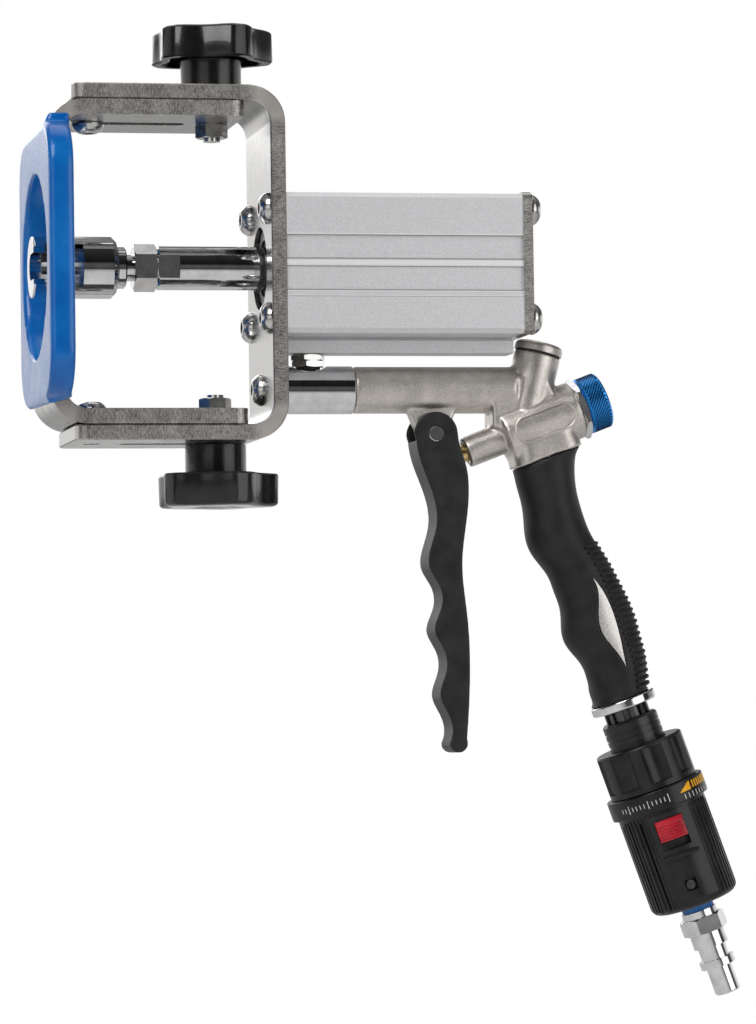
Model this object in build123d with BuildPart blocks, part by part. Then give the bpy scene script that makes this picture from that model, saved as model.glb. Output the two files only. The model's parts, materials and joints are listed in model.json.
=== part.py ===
"""Hand-held pneumatic capping press: a C-frame with a ram, on a trigger handle with a regulator.

Millimetres. The ram lies on the X axis and presses towards -X; +Z is up. The origin is the centre of the
press head's front face with the ram pushed out, which is where a capping tool is seated.
"""

import os
from math import cos, radians, sin, sqrt

from build123d import *

os.makedirs("parts", exist_ok=True)

# ---------------------------------------------------------------- driving sizes
# fits
running_gap = 0.05      # a shaft in its bush, on the radius
thread_gap = 0.05       # a screw in its thread, on the radius
slide_gap = 0.3         # flat faces that slide past each other
clear = 0.5             # a bolt through a loose hole, on the radius

# ram and press head
head_r = 14.1
head_len = 38.4
head_chamfer = 2.0
lip_len = 5.2           # front wall of the tool holder
lip_slot_w = 12.0
lip_notch_w = 17.0
lip_notch_depth = 5.0
pocket_w = 19.6
pocket_len = 17.3
stud_r = 6.0
stud_in_head = 10.0
collar_r = 9.5
collar_len = 4.4
collar_to_nut = 3.5
nut_flats = 19.0
nut_len = 10.6
rod_r = 10.0
rod_flat_len = 10.0
rod_flats = 17.0
stroke = 50.0

# the two brackets
bar_t = 7.0
bar_w = 65.0
plate_x = 105.5         # inner face of the rear plate
arm_reach = 90.0        # from the rear plate's inner face to the ends of its arms
frame_h = 161.0
bend_out_r = 17.0
bend_in_r = 10.0
arm_corner_r = 6.0
rod_window_r = 19.0
jaw_reach = 101.7       # from the rear plate's inner face to the jaw's outer steel face
jaw_arm_gap = 11.0      # from the rear plate to the ends of the jaw's arms
jaw_plate_w = 105.5
jaw_plate_h = 120.0
jaw_corner_r = 20.0
jaw_hole_r = 44.2
coat_t = 2.25
coat_dip_h = 66.5       # how far up and down the coating reaches
coat_return = 4.0       # how far it reaches along the arms
jaw_travel = 40.0
guide_x = -78.7         # guide screws, from the rear plate's inner face
clamp_x = -21.6         # clamp bolts, from the rear plate's inner face

# M8 hardware
m8_r = 4.0
m8_head_r = 7.3
m8_head_h = 4.5
m8_socket_flats = 5.0
m8_socket_depth = 2.6
m8_rim_h = 0.6
m8_nut_flats = 13.0
m8_nut_h = 6.5

# clamp knobs
knob_hub_r = 14.0
knob_hub_h = 14.0
knob_head_r = 27.5
knob_head_h = 15.0
knob_lobe_r = 8.0
knob_lobes = 5

# cylinder
barrel_w = 64.0
barrel_len = 110.0
barrel_bore_r = 25.0
screw_spacing = 50.0
barrel_corner = 2.2
side_recess_w = 25.4
side_recess_depth = 1.2
side_rib_w = 3.0
cover_len = 26.0
cover_neck_r = 17.5
cover_neck_len = 5.0
bush_r = 13.0
seal_w = 3.5
piston_len = 14.0
piston_nut_len = 6.0
bumper_len = 3.0
bumper_r = 20.0
bumper_gap = 0.1
rear_cap_len = 10.5
rear_cap_rings = (3.0, 6.0)
ring_groove = 1.2
spigot_r = 6.0          # the rod's end, through the piston
piston_gap = 0.3
seal_groove = 2.5
rod_thread_len = 14.0
seal_fit = 0.02         # a bush or seal pressed in, on the radius
end_plate_t = 4.6
end_plate_w = 65.0
end_plate_corner = 4.5
end_plate_bevel = 0.6
rail_w = 17.0
rail_h = 7.4
rail_neck_w = 12.0
rail_neck_h = 1.2
rail_bore_r = 2.0
rail_corner = 0.6
rail_thread = 3.5         # depth of the tapped hole for the fitting

# handle
tube_drop = 55.9        # handle tube's axis below the ram's
tube_r = 10.8
ferrule_r = 11.0
ferrule_len = 35.3
ferrule_bore_r = 7.05
ferrule_thread = 14.0     # depth of the handle screw's hole
spigot_len = 10.0       # of the handle inside the ferrule
tube_past = 1.0         # how far behind the barrel's end the tube meets the valve body
tube_bore_r = 4.5
nipple_x = 21.8
nipple_flats = 14.0
nipple_bore_r = 1.8
nipple_tail_r = 3.5
nipple_tail_len = 2.0
nipple_split = 0.48      # share of the fitting's height that is its own hexagon
seal_h = 1.5
seal_r = 5.6
seat_depth = 2.1        # flat cut in the ferrule for the fitting
valve_angle = 20.7      # valve axis above the horizontal
nose_x = -21.6          # centre of the valve nose's open end, from the barrel's rear end
nose_z = -84.85
nose_r = 7.2
nose_len = 24.0
valve_r = 13.5
valve_start = 19.0
valve_end = 56.0
chamber_r = 8.0
chamber_start = 24.0
stem_r = 4.0
stem_lead = 11.75       # how far the stem stands out of the nose
poppet_r = 6.5
valve_coil_r = 5.8
valve_wire_r = 0.8
valve_turns = 4
valve_ring_flats = 25.5
valve_ring_len = 3.2
flow_knob_r = 13.3
flow_knob_len = 10.4
needle_r = 4.0
needle_seat = 6.0       # depth of the needle in its knob
needle_len = 11.0       # of the needle inside the valve body
needle_tip_len = 4.0
needle_tip_r = 2.2
nozzle_x = 13.2         # centre of the capped port's mouth, from the barrel's rear end
nozzle_z = -39.4
nozzle_tilt = 14.0
nozzle_r = 10.8
cap_len = 4.4
nozzle_len = 27.3
port_plug_r = 6.0
port_seal_h = 0.8
cap_round = 2.2
lug_front = 13.5        # the lug's foot, before and behind the pivot
lug_back = 12.0
lug_neck = 5.4
shoulder_w = 26.4       # across the handle where the grip starts
shoulder_l = 33.5
shoulder_mid = 5.3
shoulder_top_w = 24.0
shoulder_top_l = 30.0
shoulder_top_mid = 6.5
shoulder_h = 22.0
shoulder_round = 8.0
web_half = 9.5
# the web's outline in side view: along from the barrel's rear end, down from the tube's axis
web_outline = [(-10.5, -6), (-10.5, -17), (5.0, -24), (20.0, -4), (14.0, 8), (1.0, 6)]

# grip and regulator share one axis
grip_angle = 19.6       # from straight down, towards +X
grip_x = 11.48          # top of the grip on that axis, from the barrel's rear end
grip_z = -88.89
grip_len = 117.0
grip_half_depth = 14.8
core_r = 6.0
core_bore_r = 4.0
core_start = -7.6       # the core tube's top end, above the top of the grip
ring_r = 15.4
ring_len = 4.2

# trigger
pivot_x = -37.4         # from the barrel's rear end
pivot_z = -76.6
pivot_r = 3.5
trigger_w = 20.6
trigger_wall = 2.5
cheek_r = 10.2
lug_w = 13.0
lug_r = 6.2
channel_wall = 3.2      # the trigger's front wall
pad_arm = 13.3          # from the pivot to the valve axis
trigger_swing = 12.0

regulator_start = 119.0  # from the top of the grip, along the axis

# ---------------------------------------------------------------- derived places
half_h = frame_h / 2
arm_in = half_h - bar_t                     # inner face of the rear bracket's arms
jaw_out = arm_in - slide_gap                # outer face of the jaw's arms
jaw_in = jaw_out - bar_t
plate_out = plate_x + bar_t
jaw_face = plate_x - jaw_reach
barrel_end = plate_out + barrel_len
screw_at = screw_spacing / 2
tube_z = -tube_drop
guide_pos = plate_x + guide_x
clamp_pos = plate_x + clamp_x
slot_r = m8_r + 0.3
collar_x = head_len + 0.2
nut_x = collar_x + collar_len + collar_to_nut
rod_x = nut_x + nut_len
piston_x = plate_out + cover_len + bumper_len
piston_end = piston_x + piston_len

ram_plane = Plane.YZ                        # local z runs along +X
side_plane = Plane.XZ                       # local x, y are X, Z; it faces the viewer
tube_plane = Plane(origin=(plate_out, 0, tube_z), x_dir=(0, 1, 0), z_dir=(1, 0, 0))
valve_dir = Vector(cos(radians(valve_angle)), 0, sin(radians(valve_angle)))
valve_plane = Plane(origin=(barrel_end + nose_x, 0, nose_z), x_dir=(0, 1, 0), z_dir=valve_dir)
nozzle_dir = Vector(sin(radians(nozzle_tilt)), 0, cos(radians(nozzle_tilt)))
nozzle_plane = Plane(origin=(barrel_end + nozzle_x, 0, nozzle_z), x_dir=(0, 1, 0), z_dir=nozzle_dir)
grip_dir = Vector(sin(radians(grip_angle)), 0, -cos(radians(grip_angle)))
grip_plane = Plane(origin=(barrel_end + grip_x, 0, grip_z), x_dir=(0, 1, 0), z_dir=grip_dir)
# the grip's side view: local x runs across from front to back, local y up the axis
grip_across = grip_dir.cross(Vector(0, 1, 0))
grip_side = Plane(origin=(barrel_end + grip_x, 0, grip_z), x_dir=grip_across, z_dir=(0, -1, 0))
regulator_plane = grip_plane.offset(regulator_start)
regulator_side = Plane(origin=regulator_plane.origin, x_dir=grip_across, z_dir=(0, -1, 0))
pivot_plane = Plane(origin=(barrel_end + pivot_x, 0, pivot_z), x_dir=(1, 0, 0), z_dir=(0, -1, 0))


# ---------------------------------------------------------------- shared operations
def save(piece, label):
    """Label a finished piece and write it."""
    piece.part.label = label
    export_step(piece.part, f"parts/{label}.step")


def turn(plane, steps, mode=Mode.ADD):
    """Turned lengths along a plane's normal: (start, end, radius)."""
    for start, end, radius in steps:
        with BuildSketch(plane.offset(start)) as section:
            Circle(radius)
        extrude(section.sketch, amount=end - start, mode=mode)


def bore(plane, steps):
    """The same lengths, cut away."""
    turn(plane, steps, mode=Mode.SUBTRACT)


def hexagon(plane, start, end, flats, turned=0.0):
    """A hexagonal length with its corners turned off at both ends."""
    corner = flats / sqrt(3)
    bevel = (corner - flats / 2) * 0.6
    outer = corner + 0.5
    with BuildSketch(plane.offset(start)) as section:
        RegularPolygon(corner, 6, rotation=turned)
    extrude(section.sketch, amount=end - start)
    lengthways = Plane(origin=plane.origin, x_dir=plane.x_dir, z_dir=-plane.y_dir)
    for base, outward in ((start, -1), (end, 1)):
        with BuildSketch(lengthways) as corners:
            Polygon(
                (flats / 2, base + outward),
                (flats / 2, base),
                (outer, base - outward * bevel),
                (outer, base + outward),
                align=None,
            )
        revolve(corners.sketch, axis=Axis(plane.origin, plane.z_dir), mode=Mode.SUBTRACT)


def button_screw(plane, shank):
    """A button-head cap screw: the plane lies on the seat, its normal points out of the head."""
    with BuildSketch(Plane(origin=plane.origin, x_dir=plane.x_dir, z_dir=-plane.y_dir)) as half:
        with BuildLine():
            Polyline(
                (m8_r, m8_head_h),
                (0, m8_head_h),
                (0, -shank),
                (m8_r - thread_gap, -shank),
                (m8_r - thread_gap, 0),
                (m8_head_r, 0),
                (m8_head_r, m8_rim_h),
            )
            ThreePointArc((m8_head_r, m8_rim_h), (m8_head_r * 0.8, m8_head_h * 0.72), (m8_r, m8_head_h))
        make_face()
    revolve(half.sketch, axis=Axis(plane.origin, plane.z_dir))
    with BuildSketch(plane.offset(m8_head_h - m8_socket_depth)) as socket:
        RegularPolygon(m8_socket_flats / sqrt(3), 6)
    extrude(socket.sketch, amount=m8_socket_depth, mode=Mode.SUBTRACT)


def coil(plane, start, end, coil_r, wire_r, turns):
    """A compression spring along a plane's normal."""
    height = end - start - 2 * wire_r
    base = plane.offset(start + wire_r).origin
    with BuildLine() as spine:
        Helix(pitch=height / turns, height=height, radius=coil_r, center=base, direction=plane.z_dir)
    with BuildSketch(Plane(origin=spine.line @ 0, z_dir=spine.line % 0)) as wire:
        Circle(wire_r)
    sweep(wire.sketch, path=spine.line)


# ---------------------------------------------------------------- rear bracket
with BuildPart() as rear_bracket:
    with BuildSketch(side_plane):
        with Locations((plate_out - (arm_reach + bar_t) / 2, 0)):
            Rectangle(arm_reach + bar_t, frame_h)
        with Locations((plate_x - arm_reach / 2, 0)):
            Rectangle(arm_reach, 2 * arm_in, mode=Mode.SUBTRACT)
    extrude(amount=bar_w / 2, both=True)
    across = rear_bracket.edges().filter_by(Axis.Y)
    fillet(across.filter_by_position(Axis.X, plate_out - 0.1, plate_out + 0.1), bend_out_r)
    across = rear_bracket.edges().filter_by(Axis.Y)
    fillet(across.filter_by_position(Axis.X, plate_x - 0.1, plate_x + 0.1), bend_in_r)
    ends = rear_bracket.edges().filter_by(Axis.Z).group_by(Axis.X)[0]
    fillet(ends, arm_corner_r)
    with BuildSketch(ram_plane.offset(plate_x - 1)):
        Circle(rod_window_r)
        with GridLocations(screw_spacing, screw_spacing, 2, 2):
            Circle(m8_r + clear)
        with Locations((0, tube_z)):
            Circle(m8_r + clear)
    extrude(amount=bar_t + 2, mode=Mode.SUBTRACT)
    with BuildSketch(Plane.XY.offset(-half_h - 1)):
        with Locations((clamp_pos - jaw_travel / 2, 0)):
            SlotOverall(jaw_travel + 2 * slot_r, 2 * slot_r)
        with Locations((guide_pos, 0)):
            Circle(m8_r)
    extrude(amount=frame_h + 2, mode=Mode.SUBTRACT)
    chamfer(rear_bracket.faces().sort_by(Axis.X)[0].edges().filter_by(Axis.Y), 0.6)
save(rear_bracket, "rear_bracket")

# ---------------------------------------------------------------- jaw bracket and its dipped coating
jaw_end = plate_x - jaw_arm_gap
jaw_slot_end = guide_pos + jaw_travel + slot_r

with BuildPart() as jaw_bracket:
    with BuildSketch(side_plane):
        with Locations(((jaw_face + jaw_end) / 2, 0)):
            Rectangle(jaw_end - jaw_face, 2 * jaw_out)
        with Locations(((jaw_face + bar_t + jaw_end) / 2, 0)):
            Rectangle(jaw_end - jaw_face - bar_t, 2 * jaw_in, mode=Mode.SUBTRACT)
    extrude(amount=bar_w / 2, both=True)
    across = jaw_bracket.edges().filter_by(Axis.Y)
    fillet(across.filter_by_position(Axis.X, jaw_face - 0.1, jaw_face + 0.1), bend_out_r)
    across = jaw_bracket.edges().filter_by(Axis.Y)
    fillet(across.filter_by_position(Axis.X, jaw_face + bar_t - 0.1, jaw_face + bar_t + 0.1), bend_in_r)
    fillet(jaw_bracket.edges().filter_by(Axis.Z).group_by(Axis.X)[-1], arm_corner_r)
    with BuildSketch(ram_plane.offset(jaw_face)):
        RectangleRounded(jaw_plate_w, jaw_plate_h, jaw_corner_r)
    extrude(amount=bar_t)
    with BuildSketch(ram_plane.offset(jaw_face - 1)):
        Circle(jaw_hole_r)
    extrude(amount=bar_t + 2, mode=Mode.SUBTRACT)
    with BuildSketch(Plane.XY.offset(-jaw_out - 1)):
        with Locations((guide_pos + jaw_travel / 2, 0)):
            SlotOverall(jaw_travel + 2 * slot_r, 2 * slot_r)
        with Locations((clamp_pos, 0)):
            Circle(slot_r)
    extrude(amount=2 * jaw_out + 2, mode=Mode.SUBTRACT)
save(jaw_bracket, "jaw_bracket")

with BuildPart() as jaw_coating:
    with BuildSketch(ram_plane.offset(jaw_face - coat_t)):
        RectangleRounded(jaw_plate_w + 2 * coat_t, jaw_plate_h + 2 * coat_t, jaw_corner_r + coat_t)
        Circle(jaw_hole_r - coat_t, mode=Mode.SUBTRACT)
    extrude(amount=bar_t + 2 * coat_t)
    fillet(jaw_coating.edges(), coat_t)
    tail = 2 * plate_x
    with BuildSketch(side_plane):
        with Locations((jaw_face - coat_t + tail / 2, 0)):
            RectangleRounded(tail, 2 * (jaw_out + coat_t), bend_out_r + coat_t)
        with Locations((jaw_face + bar_t + coat_t + tail / 2, 0)):
            RectangleRounded(tail, 2 * (jaw_in - coat_t), bend_in_r - coat_t, mode=Mode.SUBTRACT)
    extrude(amount=bar_w / 2 + coat_t, both=True)
    with BuildSketch(ram_plane.offset(jaw_face + bar_t + coat_t + coat_return)):
        Rectangle(4 * bar_w, 2 * frame_h)
    extrude(amount=2 * tail, mode=Mode.SUBTRACT)
    with BuildSketch(Plane.XY.offset(coat_dip_h)):
        Rectangle(4 * plate_x, 4 * bar_w)
    extrude(amount=bar_w, mode=Mode.SUBTRACT)
    with BuildSketch(Plane.XY.offset(-coat_dip_h)):
        Rectangle(4 * plate_x, 4 * bar_w)
    extrude(amount=-bar_w, mode=Mode.SUBTRACT)
    with BuildSketch(ram_plane.offset(jaw_face - 2 * coat_t)):
        Circle(jaw_hole_r - coat_t)
    extrude(amount=bar_t + 4 * coat_t, mode=Mode.SUBTRACT)
    add(jaw_bracket.part, mode=Mode.SUBTRACT)
save(jaw_coating, "jaw_coating")

# ---------------------------------------------------------------- bracket hardware
with BuildPart() as guide_screws:
    for sign in (1, -1):
        seat = Plane(origin=(guide_pos, 0, sign * (jaw_in - slide_gap)), x_dir=(1, 0, 0), z_dir=(0, 0, -sign))
        button_screw(seat, bar_t + 2 * slide_gap + bar_t - 0.5)
save(guide_screws, "guide_screws")

with BuildPart() as frame_screws:
    for y in (-screw_at, screw_at):
        for z in (-screw_at, screw_at):
            button_screw(Plane(origin=(plate_x, y, z), x_dir=(0, 1, 0), z_dir=(-1, 0, 0)), bar_t + 14)
save(frame_screws, "frame_screws")

with BuildPart() as handle_screw:
    button_screw(Plane(origin=(plate_x, 0, tube_z), x_dir=(0, 1, 0), z_dir=(-1, 0, 0)), bar_t + 12)
save(handle_screw, "handle_screw")

with BuildPart() as end_screws:
    for y in (-screw_at, screw_at):
        for z in (-screw_at, screw_at):
            seat = Plane(origin=(barrel_end + end_plate_t, y, z), x_dir=(0, 1, 0), z_dir=(1, 0, 0))
            button_screw(seat, end_plate_t + 14)
save(end_screws, "end_screws")

bolt_r = m8_r - thread_gap
for label, sign in (("upper", 1), ("lower", -1)):
    seat = Plane(origin=(clamp_pos, 0, sign * half_h), x_dir=(1, 0, 0), z_dir=(0, 0, sign))
    with BuildPart() as knob:
        turn(seat, [(slide_gap, knob_hub_h + 1, knob_hub_r)])
        with BuildSketch(seat.offset(knob_hub_h)):
            Circle(knob_head_r - knob_lobe_r * 0.75)
            with PolarLocations(knob_head_r - knob_lobe_r, knob_lobes):
                Circle(knob_lobe_r)
        extrude(amount=knob_head_h)
        fillet(knob.edges().group_by(Axis.Z)[-1 if sign > 0 else 0], 1.6)
        bore(seat, [(slide_gap, knob_hub_h + 8, bolt_r)])
    save(knob, f"{label}_clamp_knob")
    with BuildPart() as bolt:
        turn(seat, [(-(half_h - jaw_in) - m8_nut_h - 1.5, knob_hub_h + 8, bolt_r)])
    save(bolt, f"{label}_clamp_bolt")

with BuildPart() as clamp_nuts:
    for sign in (1, -1):
        seat = Plane(origin=(clamp_pos, 0, sign * jaw_in), x_dir=(1, 0, 0), z_dir=(0, 0, -sign))
        hexagon(seat, 0, m8_nut_h, m8_nut_flats)
        bore(seat, [(-1, m8_nut_h + 1, m8_r)])
save(clamp_nuts, "clamp_nuts")

# ---------------------------------------------------------------- ram
with BuildPart() as press_head:
    turn(ram_plane, [(0, head_len, head_r)])
    chamfer(press_head.edges().group_by(Axis.X)[-1], head_chamfer)
    fillet(press_head.edges().group_by(Axis.X)[0], 0.8)
    with BuildSketch(ram_plane.offset(-1)):
        Circle(lip_slot_w / 2)
        with Locations((-head_r / 2, 0)):
            Rectangle(head_r, lip_slot_w)
        with Locations((-head_r, 0)):
            Rectangle(2 * lip_notch_depth, lip_notch_w)
    extrude(amount=lip_len + 1, mode=Mode.SUBTRACT)
    with BuildSketch(ram_plane.offset(lip_len)):
        Circle(pocket_w / 2)
        with Locations((-head_r, 0)):
            Rectangle(2 * head_r, pocket_w)
    extrude(amount=pocket_len, mode=Mode.SUBTRACT)
    bore(ram_plane, [(head_len - stud_in_head, head_len + 1, stud_r + thread_gap)])
save(press_head, "press_head")

with BuildPart() as ram_stud:
    turn(ram_plane, [(head_len - stud_in_head + clear, rod_x + rod_thread_len, stud_r)])
    turn(ram_plane, [(collar_x, collar_x + collar_len, collar_r)])
    chamfer(ram_stud.edges().filter_by(GeomType.CIRCLE).sort_by(SortBy.RADIUS)[-2:], 0.7)
save(ram_stud, "ram_stud")

with BuildPart() as ram_nut:
    hexagon(ram_plane, nut_x, nut_x + nut_len, nut_flats, turned=30)
    bore(ram_plane, [(nut_x - 1, nut_x + nut_len + 1, stud_r + thread_gap)])
save(ram_nut, "ram_nut")

with BuildPart() as piston_rod:
    turn(ram_plane, [(rod_x, piston_x, rod_r), (piston_x, piston_end + piston_nut_len, spigot_r)])
    chamfer(piston_rod.edges().group_by(Axis.X)[0], 1.0)
    bore(ram_plane, [(rod_x - 1, rod_x + rod_thread_len + 1, stud_r + thread_gap)])
    for side in (1, -1):
        with BuildSketch(ram_plane.offset(rod_x - 1)):
            with Locations((side * (rod_flats / 2 + rod_r / 2), 0)):
                Rectangle(rod_r, 3 * rod_r)
        extrude(amount=rod_flat_len + 1, mode=Mode.SUBTRACT)
save(piston_rod, "piston_rod")

with BuildPart() as piston:
    turn(ram_plane, [(piston_x, piston_end, barrel_bore_r - piston_gap)])
    bore(ram_plane, [(piston_x - 1, piston_end + 1, spigot_r + running_gap)])
    with BuildSketch(ram_plane.offset(piston_x + piston_len / 2 - seal_w / 2)):
        Circle(barrel_bore_r)
        Circle(barrel_bore_r - seal_groove - piston_gap, mode=Mode.SUBTRACT)
    extrude(amount=seal_w, mode=Mode.SUBTRACT)
save(piston, "piston")

with BuildPart() as piston_seal:
    middle = piston_x + piston_len / 2
    turn(ram_plane, [(middle - seal_w / 2 + 0.1, middle + seal_w / 2 - 0.1, barrel_bore_r - running_gap)])
    bore(ram_plane, [(middle - seal_w, middle + seal_w, barrel_bore_r - seal_groove - 0.2)])
save(piston_seal, "piston_seal")

with BuildPart() as piston_nut:
    hexagon(ram_plane, piston_end, piston_end + piston_nut_len, nut_flats)
    bore(ram_plane, [(piston_end - 1, piston_end + piston_nut_len + 1, spigot_r + thread_gap)])
save(piston_nut, "piston_nut")

# ---------------------------------------------------------------- cylinder
with BuildPart() as barrel:
    with BuildSketch(ram_plane.offset(plate_out)) as profile:
        Rectangle(barrel_w, barrel_w)
        chamfer(profile.vertices(), barrel_corner)
        for side in (1, -1):
            with Locations((side * barrel_w / 2, 0)):
                Rectangle(2 * side_recess_depth, side_recess_w, mode=Mode.SUBTRACT)
            with Locations((side * (barrel_w / 2 - side_recess_depth), 0)):
                Rectangle(2 * side_recess_depth - 0.8, side_rib_w)
        with Locations((0, barrel_w / 2)):
            Rectangle(side_recess_w, 2 * side_recess_depth, mode=Mode.SUBTRACT)
        Circle(barrel_bore_r, mode=Mode.SUBTRACT)
        with GridLocations(screw_spacing, screw_spacing, 2, 2):
            Circle(m8_r, mode=Mode.SUBTRACT)
    extrude(amount=barrel_len)
save(barrel, "barrel")

with BuildPart() as rod_cover:
    turn(ram_plane, [(plate_out, plate_out + cover_len, barrel_bore_r - running_gap)])
    turn(ram_plane, [(plate_out - cover_neck_len, plate_out + 1, cover_neck_r)])
    bore(ram_plane, [(plate_x - 1, plate_out + cover_len + 1, bush_r)])
save(rod_cover, "rod_cover")

with BuildPart() as front_bumper:
    turn(ram_plane, [(plate_out + cover_len, piston_x - bumper_gap, bumper_r)])
    bore(ram_plane, [(plate_out, piston_x + 1, rod_r + clear)])
save(front_bumper, "front_bumper")

with BuildPart() as rear_cap:
    turn(ram_plane, [(barrel_end - rear_cap_len, barrel_end, barrel_bore_r - running_gap)])
    for ring_at in rear_cap_rings:
        with BuildSketch(ram_plane.offset(barrel_end - ring_at)):
            Circle(barrel_bore_r)
            Circle(barrel_bore_r - ring_groove, mode=Mode.SUBTRACT)
        extrude(amount=1.0, mode=Mode.SUBTRACT)
save(rear_cap, "rear_cap")

with BuildPart() as rod_bush:
    turn(ram_plane, [(plate_out + seal_w, plate_out + cover_len, bush_r - seal_fit)])
    bore(ram_plane, [(plate_out - 1, plate_out + cover_len + 1, rod_r + running_gap)])
save(rod_bush, "rod_bush")

with BuildPart() as rod_seal:
    turn(ram_plane, [(plate_out - cover_neck_len + 1, plate_out + seal_w - 0.1, bush_r - seal_fit)])
    bore(ram_plane, [(plate_x - 1, plate_out + seal_w + 1, rod_r + running_gap)])
save(rod_seal, "rod_seal")

with BuildPart() as end_plate:
    with BuildSketch(ram_plane.offset(barrel_end)):
        with Locations((0, (end_plate_w - barrel_w) / 2)):
            RectangleRounded(end_plate_w, end_plate_w, end_plate_corner)
        with GridLocations(screw_spacing, screw_spacing, 2, 2):
            Circle(m8_r + clear, mode=Mode.SUBTRACT)
    extrude(amount=end_plate_t)
    chamfer(end_plate.faces().sort_by(Axis.X)[-1].outer_wire().edges(), end_plate_bevel)
save(end_plate, "end_plate")

rail_z = -barrel_w / 2
with BuildPart() as air_rail:
    with BuildSketch(ram_plane.offset(plate_out)):
        with Locations((0, rail_z - rail_neck_h / 2)):
            Rectangle(rail_neck_w, rail_neck_h)
        with Locations((0, rail_z - rail_neck_h - (rail_h - rail_neck_h) / 2)):
            RectangleRounded(rail_w, rail_h - rail_neck_h, rail_corner)
        with Locations((0, rail_z - rail_h / 2)):
            Circle(rail_bore_r, mode=Mode.SUBTRACT)
    extrude(amount=barrel_len)
    nipple_top = Plane(origin=(plate_x + nipple_x, 0, rail_z - rail_h), x_dir=(1, 0, 0))
    bore(nipple_top, [(-1, rail_thread, m8_r)])
save(air_rail, "air_rail")

# ---------------------------------------------------------------- air fitting under the rail
rail_bottom = rail_z - rail_h
ferrule_top = tube_z + ferrule_r
seat_z = ferrule_top - seat_depth
fitting_gap = rail_bottom - seat_z
nipple_plane = Plane(origin=(plate_x + nipple_x, 0, seat_z), x_dir=(1, 0, 0))
hex_split = seal_h + (fitting_gap - seal_h) * nipple_split

with BuildPart() as air_nipple:
    hexagon(nipple_plane, seal_h, hex_split, nipple_flats, turned=15)
    turn(nipple_plane, [(hex_split, fitting_gap + rail_thread - slide_gap, m8_r - thread_gap)])
    turn(nipple_plane, [(-nipple_tail_len, seal_h, nipple_tail_r)])
    bore(nipple_plane, [(-5, fitting_gap + 4, nipple_bore_r)])
save(air_nipple, "air_nipple")

with BuildPart() as nipple_nut:
    hexagon(nipple_plane, hex_split + 0.05, fitting_gap - 0.4, nipple_flats, turned=8)
    bore(nipple_plane, [(0, fitting_gap + 1, m8_r)])
save(nipple_nut, "nipple_nut")

with BuildPart() as nipple_seal:
    turn(nipple_plane, [(0, seal_h, seal_r)])
    bore(nipple_plane, [(-1, seal_h + 1, nipple_tail_r + thread_gap)])
save(nipple_seal, "nipple_seal")

# ---------------------------------------------------------------- handle
with BuildPart() as ferrule:
    turn(tube_plane, [(0, ferrule_len, ferrule_r)])
    chamfer(ferrule.edges().group_by(Axis.X)[-1], 0.4)
    bore(tube_plane, [(-1, ferrule_thread, m8_r), (ferrule_thread - 0.1, ferrule_len + 1, ferrule_bore_r)])
    bore(nipple_plane, [(-6, 1, nipple_tail_r + thread_gap)])
    bore(nipple_plane, [(0, 2 * seat_depth, nipple_flats / sqrt(3) + clear)])
save(ferrule, "ferrule")

tube_len = barrel_len + tube_past - ferrule_len
with BuildPart() as handle_body:
    turn(tube_plane, [(ferrule_len - spigot_len, ferrule_len, ferrule_bore_r - running_gap)])
    turn(tube_plane, [(ferrule_len, ferrule_len + tube_len, tube_r)])
    turn(valve_plane, [(valve_start, valve_end, valve_r)])
    turn(valve_plane, [(0, nose_len, nose_r)])
    turn(nozzle_plane, [(-nozzle_len, 0, nozzle_r)])
    # the trigger's lug under the tube
    with BuildSketch(side_plane):
        with BuildLine():
            Polyline(
                (barrel_end + pivot_x - lug_front, tube_z - 4),
                (barrel_end + pivot_x - lug_neck, pivot_z - 3),
                (barrel_end + pivot_x + lug_neck, pivot_z - 3),
                (barrel_end + pivot_x + lug_back, tube_z - 4),
                close=True,
            )
        make_face()
        with Locations((barrel_end + pivot_x, pivot_z)):
            Circle(lug_r)
    extrude(amount=lug_w / 2, both=True)
    # the shoulder that carries the grip
    with BuildSketch(grip_plane):
        with Locations((0, shoulder_mid)):
            RectangleRounded(shoulder_w, shoulder_l, shoulder_round)
    with BuildSketch(grip_plane.offset(-shoulder_h)):
        with Locations((0, shoulder_top_mid)):
            RectangleRounded(shoulder_top_w, shoulder_top_l, shoulder_round)
    loft()
    # the web that joins the tube, the port and the valve
    with BuildSketch(side_plane):
        with BuildLine():
            Polyline([(barrel_end + x, tube_z + z) for x, z in web_outline], close=True)
        make_face()
    extrude(amount=web_half, both=True)
    bore(tube_plane, [(ferrule_len - spigot_len - 1, ferrule_len + tube_len + 6, tube_bore_r)])
    bore(valve_plane, [(-1, chamber_start + 1, stem_r + running_gap)])
    bore(valve_plane, [(chamber_start, valve_end + 1, chamber_r)])
    bore(grip_plane, [(core_start, 1, core_r + running_gap), (-16, core_start + 1, core_bore_r)])
    bore(nozzle_plane, [(-12, 1, port_plug_r + thread_gap)])
    with BuildSketch(side_plane):
        with Locations((barrel_end + pivot_x, pivot_z)):
            Circle(pivot_r)
    extrude(amount=lug_w, both=True, mode=Mode.SUBTRACT)
save(handle_body, "handle_body")

with BuildPart() as port_seal:
    turn(nozzle_plane, [(0, port_seal_h, nozzle_r - clear)])
    bore(nozzle_plane, [(-1, 2, port_plug_r + 0.1)])
save(port_seal, "port_seal")

with BuildPart() as port_plug:
    turn(nozzle_plane, [(port_seal_h, port_seal_h + cap_len, nozzle_r + 0.3), (-8, port_seal_h, port_plug_r)])
    rim = port_plug.edges().filter_by(GeomType.CIRCLE).group_by(SortBy.RADIUS)[-1].sort_by(Axis.Z)[-1]
    fillet(rim, cap_round)
save(port_plug, "port_plug")

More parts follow.
